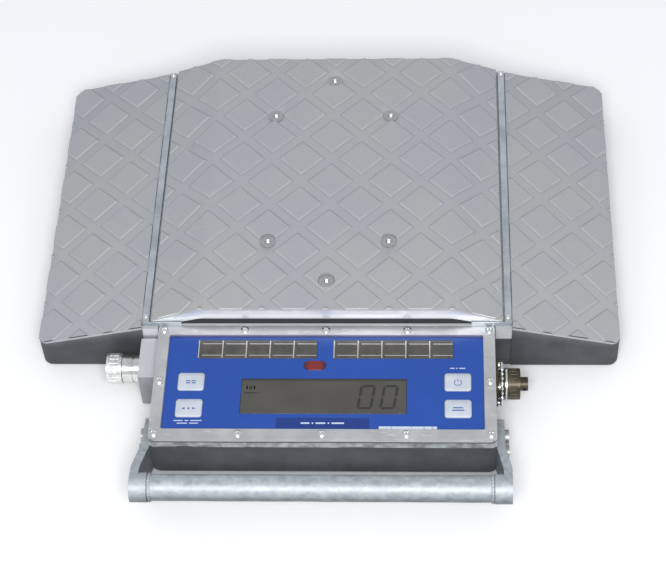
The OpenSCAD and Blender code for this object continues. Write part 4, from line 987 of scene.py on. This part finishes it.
galvanised = Paint("galvanised steel", 0.42, Metallic=0.5)
spangle = galvanised.cells(260, where=galvanised.place(stretch=(0.7, 1, 1)), out="Color")
spangle = galvanised.node("SeparateColor", None, {0: spangle})
frost = galvanised.noise(130, 5, 0.7, galvanised.place(stretch=(0.7, 1, 1))).ramp(0.32, 0.72)
fine = galvanised.noise(700, 3, 0.65)
dull = galvanised.mix(frost, (0.31, 0.345, 0.365), (0.47, 0.51, 0.535))
bright = galvanised.mix(spangle * 0.22 + fine * 0.15, dull, (0.68, 0.73, 0.76))
# Faces that look down take a darker copy of the zinc: painted shade, blended by how far a face
# looks up.
shaded_underside = galvanised.mix(frost, (0.12, 0.135, 0.146), (0.23, 0.25, 0.265))
lit = galvanised.facing_up().ramp(-0.15, 0.75)
galvanised.set(Base_Color=galvanised.mix(lit, shaded_underside, bright),
               Roughness=0.4 + frost * 0.16 + fine * 0.12)
galvanised.bump(frost * 0.5 + fine * 0.5, 0.00022, 0.6)


def grip():
    """The tube as a profile of radius along its axis, with a bore, its radius wandering by a
    few hundredths of a millimetre as drawn tube's does."""
    x = np.linspace(tube_low[0], tube_high[0], 60)
    angle = np.linspace(0, 2 * np.pi, 64, endpoint=False)
    dent = 0.00006 * (np.sin(x[:, None] * 61) + np.sin(x[:, None] * 137 + 2 * angle) - 2)
    outer = tube_r + dent
    inner = np.full_like(outer, tube_r - tube_wall)
    radius = np.concatenate([outer, inner[::-1]])
    place = np.concatenate([x, x[::-1]])
    ring = np.stack([np.broadcast_to(place[:, None], radius.shape),
                     tube_middle[1] + radius * np.cos(angle),
                     tube_middle[2] + radius * np.sin(angle)], -1)
    return skin(np.concatenate([ring, ring[:1]]), (False, False))


def weld(side, seed):
    """A bead round the tube: a half-round section carried round it, swelling and thinning
    with every laid drop."""
    draws = np.random.default_rng(seed).uniform(-1, 1, (3, weld_drops))
    steps = 6 * weld_drops
    angle = np.linspace(0, 2 * np.pi, steps, endpoint=False)
    drop = angle * weld_drops / (2 * np.pi)
    bump = np.abs(np.sin(drop * np.pi)) ** 0.6
    size = 0.0010 + 0.0004 * bump + 0.0002 * draws[0][drop.astype(int) % weld_drops]
    across = np.linspace(0, np.pi, 9)
    lean = 0.0003 * draws[1][drop.astype(int) % weld_drops]
    reach = np.cos(across) * (weld_w / 2)
    x = tube_high[0] - weld_w / 2 + reach[None] + lean[:, None] * np.sin(across)
    radius = tube_r - 0.0004 + size[:, None] * np.sin(across)
    rings = np.stack([x * side, tube_middle[1] + radius * np.cos(angle)[:, None],
                      tube_middle[2] + radius * np.sin(angle)[:, None]], -1)
    return skin(np.concatenate([rings, rings[:1]]), (False, False))


piece("handle_grip", [grip()], galvanised, "base", ["handle_tube"])
piece("weld_beads", [weld(-1, 3), weld(1, 8)], galvanised, "base",
      ["handle_welds"], crease=60)
for node in ("arm_left", "arm_right"):
    softened(node, 0.0009, galvanised, "base", 3)
